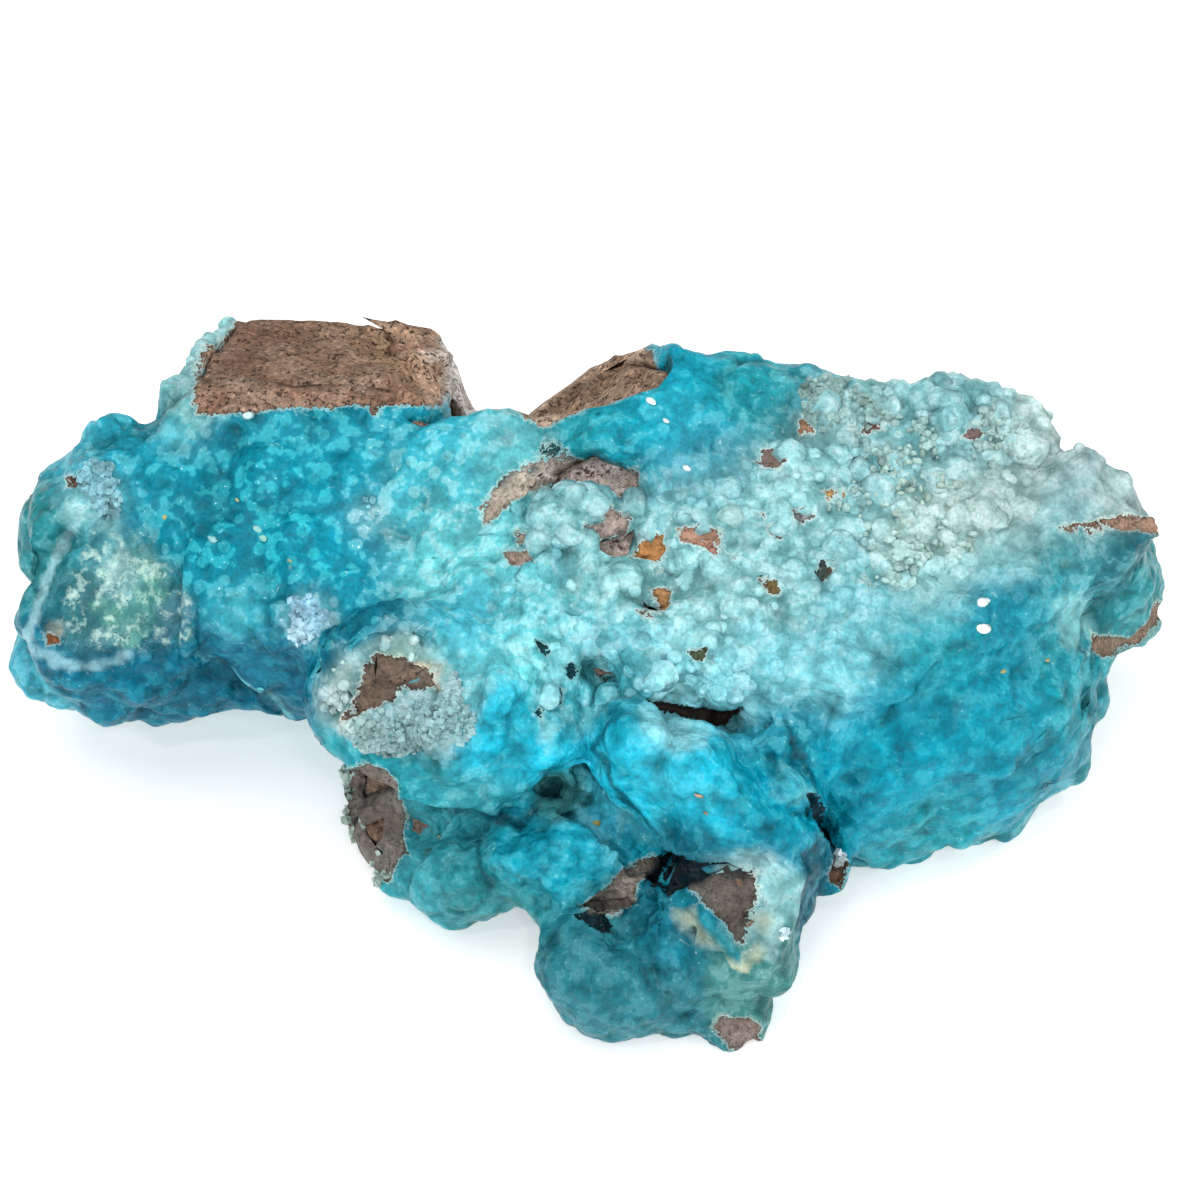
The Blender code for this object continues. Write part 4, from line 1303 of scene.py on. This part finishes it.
DRUSE = {
    "over the foot knob": Spot(690, 873, 0.8, "#7FA5B0"),
    "knob front": Spot(405, 728, 2.6, "#8FB0B2"),
    "knob front left": Spot(366, 736, 2.0, "#98B8B8"),
    "knob front right": Spot(440, 712, 2.4, "#8FB5B8"),
    "knob left": Spot(334, 702, 1.1, "#B9D2CE"),
    "knob low": Spot(395, 742, 1.6, "#94B8BA"),
    "knob far right": Spot(462, 728, 1.6, "#9CC8CB"),
    "knob far left": Spot(342, 668, 1.1, "#A9CBC8"),
    "knob back": Spot(390, 640, 0.8, "#B9D2C9"),
    "knob back right": Spot(438, 664, 0.9, "#C3D5C4"),
    "knob right": Spot(448, 690, 1.6, "#A3C4C8"),
    "sugary shoulder": Spot(96, 480, 2.0, "#86BCC8"),
    "sugary shoulder low": Spot(106, 503, 1.6, "#93C5CF"),
    "field": Spot(365, 512, 1.5, "#7FC3D0"),
    "blob": Spot(303, 606, 1.4, "#9CCBDE"),
    "blob low": Spot(300, 634, 1.2, "#BADEEC"),
    "blob right": Spot(322, 622, 1.2, "#9FCDDF"),
    "far": Spot(828, 402, 3.2, "#93B5B1"),
    "far right": Spot(860, 420, 2.2, "#9CBBB5"),
    "notch": Spot(500, 395, 1.4, "#D8DED4"),
    "notch right": Spot(530, 402, 1.4, "#CBD8CE"),
    "small bit": Spot(840, 858, 0.9, "#D5E3E8"),
    "foot knob side": Spot(783, 935, 0.7, "#CBE3EA"),
    "far gold": Spot(833, 492, 0.8, "#D9CBA0"),
    "rock edge left": Spot(345, 806, 1.6, "#9FB5AE"),
    "rock edge high": Spot(345, 775, 1.9, "#9FB5AE"),
    "rock edge": Spot(348, 830, 1.9, "#A2B3A8"),
    "rock edge low": Spot(378, 868, 1.9, "#A5BAB0"),
}
DRUSE_SPREAD = 1.2
DRUSE_EDGE = (0.25, 0.6)  # how near a spot the crystals begin, and where they are in full number
DRUSE_TURN = -0.3  # how far a place may face away from the viewpoint and still carry crystals
CRYSTAL_SPACING = 0.55  # mm
CRYSTAL_SIZE = (0.18, 0.44)  # half the length of an edge, mm
CRYSTAL_STRETCH = (0.8, 1.2)
CRYSTAL_SLANT = 0.25
CRYSTAL_TIP = 0.8
BRIGHTEST = 0.95
CRYSTAL_TONES = (0.75, 1.2)

both = np.concatenate([points_of(crust.data) / MM, points_of(rock.data) / MM])
both_out = np.concatenate([normals_of(crust.data), normals_of(rock.data)])
cover, druse_tint = covered(both, DRUSE, DRUSE_SPREAD)
picked = one_per_cell(both, CRYSTAL_SPACING)
picked = picked[both_out[picked] @ np.array(view_back) > DRUSE_TURN]
picked = picked[smooth_step(cover[picked], *DRUSE_EDGE) > roll.random(len(picked))]
rhomb = [(x + CRYSTAL_SLANT * z, y, z) for x in (-1, 1) for y in (-1, 1) for z in (-1, 1)]
rhomb = np.array(rhomb, dtype=float)
sides = np.array([(0, 1, 3, 2), (4, 6, 7, 5), (0, 4, 5, 1), (2, 3, 7, 6), (0, 2, 6, 4), (1, 5, 7, 3)])
edge = roll.uniform(*CRYSTAL_SIZE, (len(picked), 1)) * roll.uniform(*CRYSTAL_STRETCH, (len(picked), 3))
druse, flat, turned = crowd("druse", rhomb, sides, both[picked], edge)
move_points(druse.data, flat * MM)
paler = np.repeat(roll.uniform(*CRYSTAL_TONES, len(picked)), len(rhomb))[:, None]
own = np.repeat(druse_tint[picked], len(rhomb), axis=0)
coated(druse, np.clip(own * paler, 0, BRIGHTEST), own, CRYSTAL_TIP)
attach(druse, "root")

# ---- The grains ----------------------------------------------------------------------------------
# Cream and pale green grains of smithsonite, a millimetre or so across, loosely packed where the top was
# etched.

GRAINS = {
    "far": Spot(905, 442, 3.2, "#9EC2BD"),
    "far right": Spot(1000, 440, 3.6, "#A7C5C1"),
    "middle": Spot(900, 505, 4.2, "#B3CEC4"),
    "middle right": Spot(950, 530, 3.4, "#B0CEC8"),
    "front": Spot(890, 560, 3.2, "#A8CECA"),
    "left": Spot(850, 500, 2.6, "#A2C7C4"),
    "front right": Spot(930, 490, 3.2, "#B0CBC4"),
    "far left": Spot(860, 430, 2.8, "#93BBBB"),
}
GRAIN_SPREAD = 1.1
GRAIN_EDGE = (0.20, 0.60)
GRAIN_SPACING = 0.85  # mm
GRAIN_SIZE = (0.36, 0.72)  # radius, mm
GRAIN_STRETCH = (0.5, 1.5)
GRAIN_TONES = (0.8, 1.2)
GRAIN_LIFT = 0.15  # mm from the skin to the middle of a grain
GRAIN_BARE = 0.3
# Painted shade and light: each grain is painted darker towards the skin and lighter on its outward top.
GRAIN_SHADING = (0.6, 0.3)

skin = points_of(crust.data) / MM
outward = normals_of(crust.data)
cover, grain_tint = covered(skin, GRAINS, GRAIN_SPREAD)
picked = one_per_cell(skin, GRAIN_SPACING)
picked = picked[(outward[picked] @ np.array(view_back) > 0) & (bare[picked] < GRAIN_BARE)]
picked = picked[smooth_step(cover[picked], *GRAIN_EDGE) > roll.random(len(picked))]
corners, faces = ball_mesh(1)
sizes = roll.uniform(*GRAIN_SIZE, (len(picked), 1)) * roll.uniform(*GRAIN_STRETCH, (len(picked), 3))
grains, flat, turned = crowd("grains", corners, faces, skin[picked] + GRAIN_LIFT * outward[picked], sizes)
move_points(grains.data, flat * MM)
# Each grain's painted shade and light, by how far each point faces outward.
height = (turned * outward[picked][:, None, :]).sum(axis=2).ravel()
lighter = np.repeat(roll.uniform(*GRAIN_TONES, len(picked)), len(corners))[:, None]
own = np.repeat(grain_tint[picked], len(corners), axis=0)
coated(grains, np.clip(own * lighter, 0, BRIGHTEST), own, GRAIN_SHADING[0] + GRAIN_SHADING[1] * height)
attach(grains, "root")

# ---- The flecks ----------------------------------------------------------------------------------
# Loose scales of white smithsonite and rusty specks that stuck to the crust as it grew, and three white
# flecks on the upper crust that are painted glints of light.

# A fleck: where it is seen, half its length in mm, its colour.
Fleck = namedtuple("Fleck", "column row half colour")
FLECKS = {
    "apron scale high": Fleck(981, 602, 1.05, "#EAF8F8"),
    "apron scale low": Fleck(980, 628, 1.05, "#F0FBFA"),
    "shoulder chip": Fleck(76, 484, 0.9, "#7C6054"),
    # Painted glints: white flecks where the light glints on the upper crust.
    "upper glint": Fleck(651, 405, 0.7, "#E4F6F8"),
    "upper glint low": Fleck(657, 418, 0.5, "#DDF3F5"),
    "upper glint right": Fleck(681, 469, 0.6, "#E8F8F8"),
    "field scale": Fleck(250, 415, 0.8, "#CFEDEF"),
    "field dot ring": Fleck(253, 531, 0.7, "#8FCBC4"),
    "field dot": Fleck(254, 531, 0.32, "#6A4B2E"),
    "field dot right ring": Fleck(265, 538, 0.6, "#93CDC2"),
    "field dot right": Fleck(266, 538, 0.30, "#73552F"),
    "field dot left ring": Fleck(214, 540, 0.65, "#9AD4D4"),
    "field dot left": Fleck(215, 540, 0.25, "#3F7478"),
    "field dot far": Fleck(170, 518, 0.45, "#B9B37C"),
    "field dot far left": Fleck(240, 500, 0.40, "#A9C49A"),
    "field dot low": Fleck(290, 560, 0.40, "#9FC0A0"),
    "fist fleck": Fleck(698, 797, 0.55, "#C3A68C"),
    "fist fleck low": Fleck(706, 812, 0.35, "#B39A80"),
    "apron fleck": Fleck(1003, 668, 0.45, "#A9AC7C"),
    "apron fleck right": Fleck(1045, 667, 0.45, "#9FA57A"),
    "shelf fleck": Fleck(597, 824, 0.5, "#B9A35A"),
    "low fleck": Fleck(438, 836, 0.4, "#B9AE74"),
    "wedge fleck": Fleck(262, 688, 0.5, "#5FBCC6"),
    "knob fleck": Fleck(436, 684, 0.45, "#C08A4A"),
}

FLECK_SHAPE = (1.0, 0.6, 0.25)  # length, width and thickness against half the length
FLECK_DENT = 0.35
FLECK_LIFT = 0.1  # mm
FLECK_TIP = 0.8
ASKEW = (0.3, 0.2, 1.0)  # a direction that no fleck's up lies along, to turn its length by

fleck_corners, fleck_faces = ball_mesh(2)
spots, shapes, tints = [], [], []
for fleck in FLECKS.values():
    spot = seen_at(shown, fleck.column, fleck.row)
    if spot is None:
        continue
    index = int(((skin - np.array(spot)) ** 2).sum(axis=1).argmin())
    up = outward[index]
    along = np.cross(up, ASKEW)
    along /= np.linalg.norm(along)
    frame_of = np.stack([along, np.cross(up, along), up])
    shape = fleck_corners * [part * fleck.half for part in FLECK_SHAPE]
    shape *= 1 + FLECK_DENT * ripple(fleck_corners + spot, 0.9, 61)[:, None]
    shapes.append(shape @ frame_of + skin[index] + FLECK_LIFT * up)
    tints.append(np.tile(linear(fleck.colour)[:3], (len(shape), 1)))
flat = np.vstack(shapes)
every = (fleck_faces[None] + np.arange(len(shapes))[:, None, None] * len(fleck_corners)).reshape(-1, 3)
fleck_mesh = bpy.data.meshes.new("flecks")
fleck_mesh.from_pydata((flat * MM).tolist(), [], every.tolist())
flecks = bpy.data.objects.new("flecks", fleck_mesh)
bpy.context.scene.collection.objects.link(flecks)
coated(flecks, np.vstack(tints), np.vstack(tints), FLECK_TIP)
fleck_mesh.shade_smooth()
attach(flecks, "root")

# ---- The stage -----------------------------------------------------------------------------------
# A plain white table, which glows a little, under a large soft light from above and one from the front, a
# weaker one from the right and three small lamps for glints.

FLOOR = 3.0  # m across
LIT_PLACE = (0, 0, 0.02)
SKY_STRENGTH = 0.40
PAPER = {"Base Color": linear("#FAFAFA"), "Emission Color": linear("#FFFFFF")}
# The paper's glow is painted light: it keeps the shadows on the table pale and lights the underside of the
# specimen.
PAPER |= {"Roughness": 0.9, "Emission Strength": 0.30}
LIGHTS = {  # place and size in m, power in W
    "top light": ((-0.20, 0.10, 0.90), 0.7, 3.45),
    "front light": ((-0.20, -0.90, 0.60), 0.6, 4.45),
    "right light": ((0.80, -0.30, 0.50), 0.5, 2.0),
    "glint lamp 0": ((-0.35, -0.30, 0.60), 0.05, 0.45),
    "glint lamp 1": ((0.10, -0.45, 0.65), 0.05, 0.45),
    "glint lamp 2": ((0.40, 0.10, 0.55), 0.05, 0.45),
}

floor_mesh = bpy.data.meshes.new("floor")
half = FLOOR / 2
edge = [(-half, -half, 0), (half, -half, 0), (half, half, 0), (-half, half, 0)]
floor_mesh.from_pydata(edge, [], [(0, 1, 2, 3)])
floor = bpy.data.objects.new("floor", floor_mesh)
bpy.context.scene.collection.objects.link(floor)
paper = bpy.data.materials.new("white_paper")
paper.use_nodes = True
for name, value in PAPER.items():
    paper.node_tree.nodes["Principled BSDF"].inputs[name].default_value = value
floor_mesh.materials.append(paper)

# Each light is a square that is turned towards the specimen.
for name, (place, size, power) in LIGHTS.items():
    lamp = bpy.data.lights.new(name, "AREA")
    lamp.energy = power
    lamp.size = size
    holder = bpy.data.objects.new(name, lamp)
    holder.location = place
    holder.rotation_mode = "QUATERNION"
    holder.rotation_quaternion = (Vector(LIT_PLACE) - Vector(place)).to_track_quat("-Z", "Y")
    bpy.context.scene.collection.objects.link(holder)

world = bpy.data.worlds.new("studio")
bpy.context.scene.world = world
world.use_nodes = True
sky = world.node_tree.nodes.get("Background") or world.node_tree.nodes.new("ShaderNodeBackground")
sky.inputs["Color"].default_value = linear("#FFFFFF")
sky.inputs["Strength"].default_value = SKY_STRENGTH

bpy.context.scene.view_settings.view_transform = "Standard"

eye = bpy.data.cameras.new("camera")
eye.lens = LENS
eye.sensor_width = SENSOR
eye.clip_start = 0.01
camera = bpy.data.objects.new("camera", eye)
camera.location = view_point * MM
camera.rotation_mode = "QUATERNION"
camera.rotation_quaternion = (-view_back).to_track_quat("-Z", "Y")
bpy.context.scene.collection.objects.link(camera)
bpy.context.scene.camera = camera
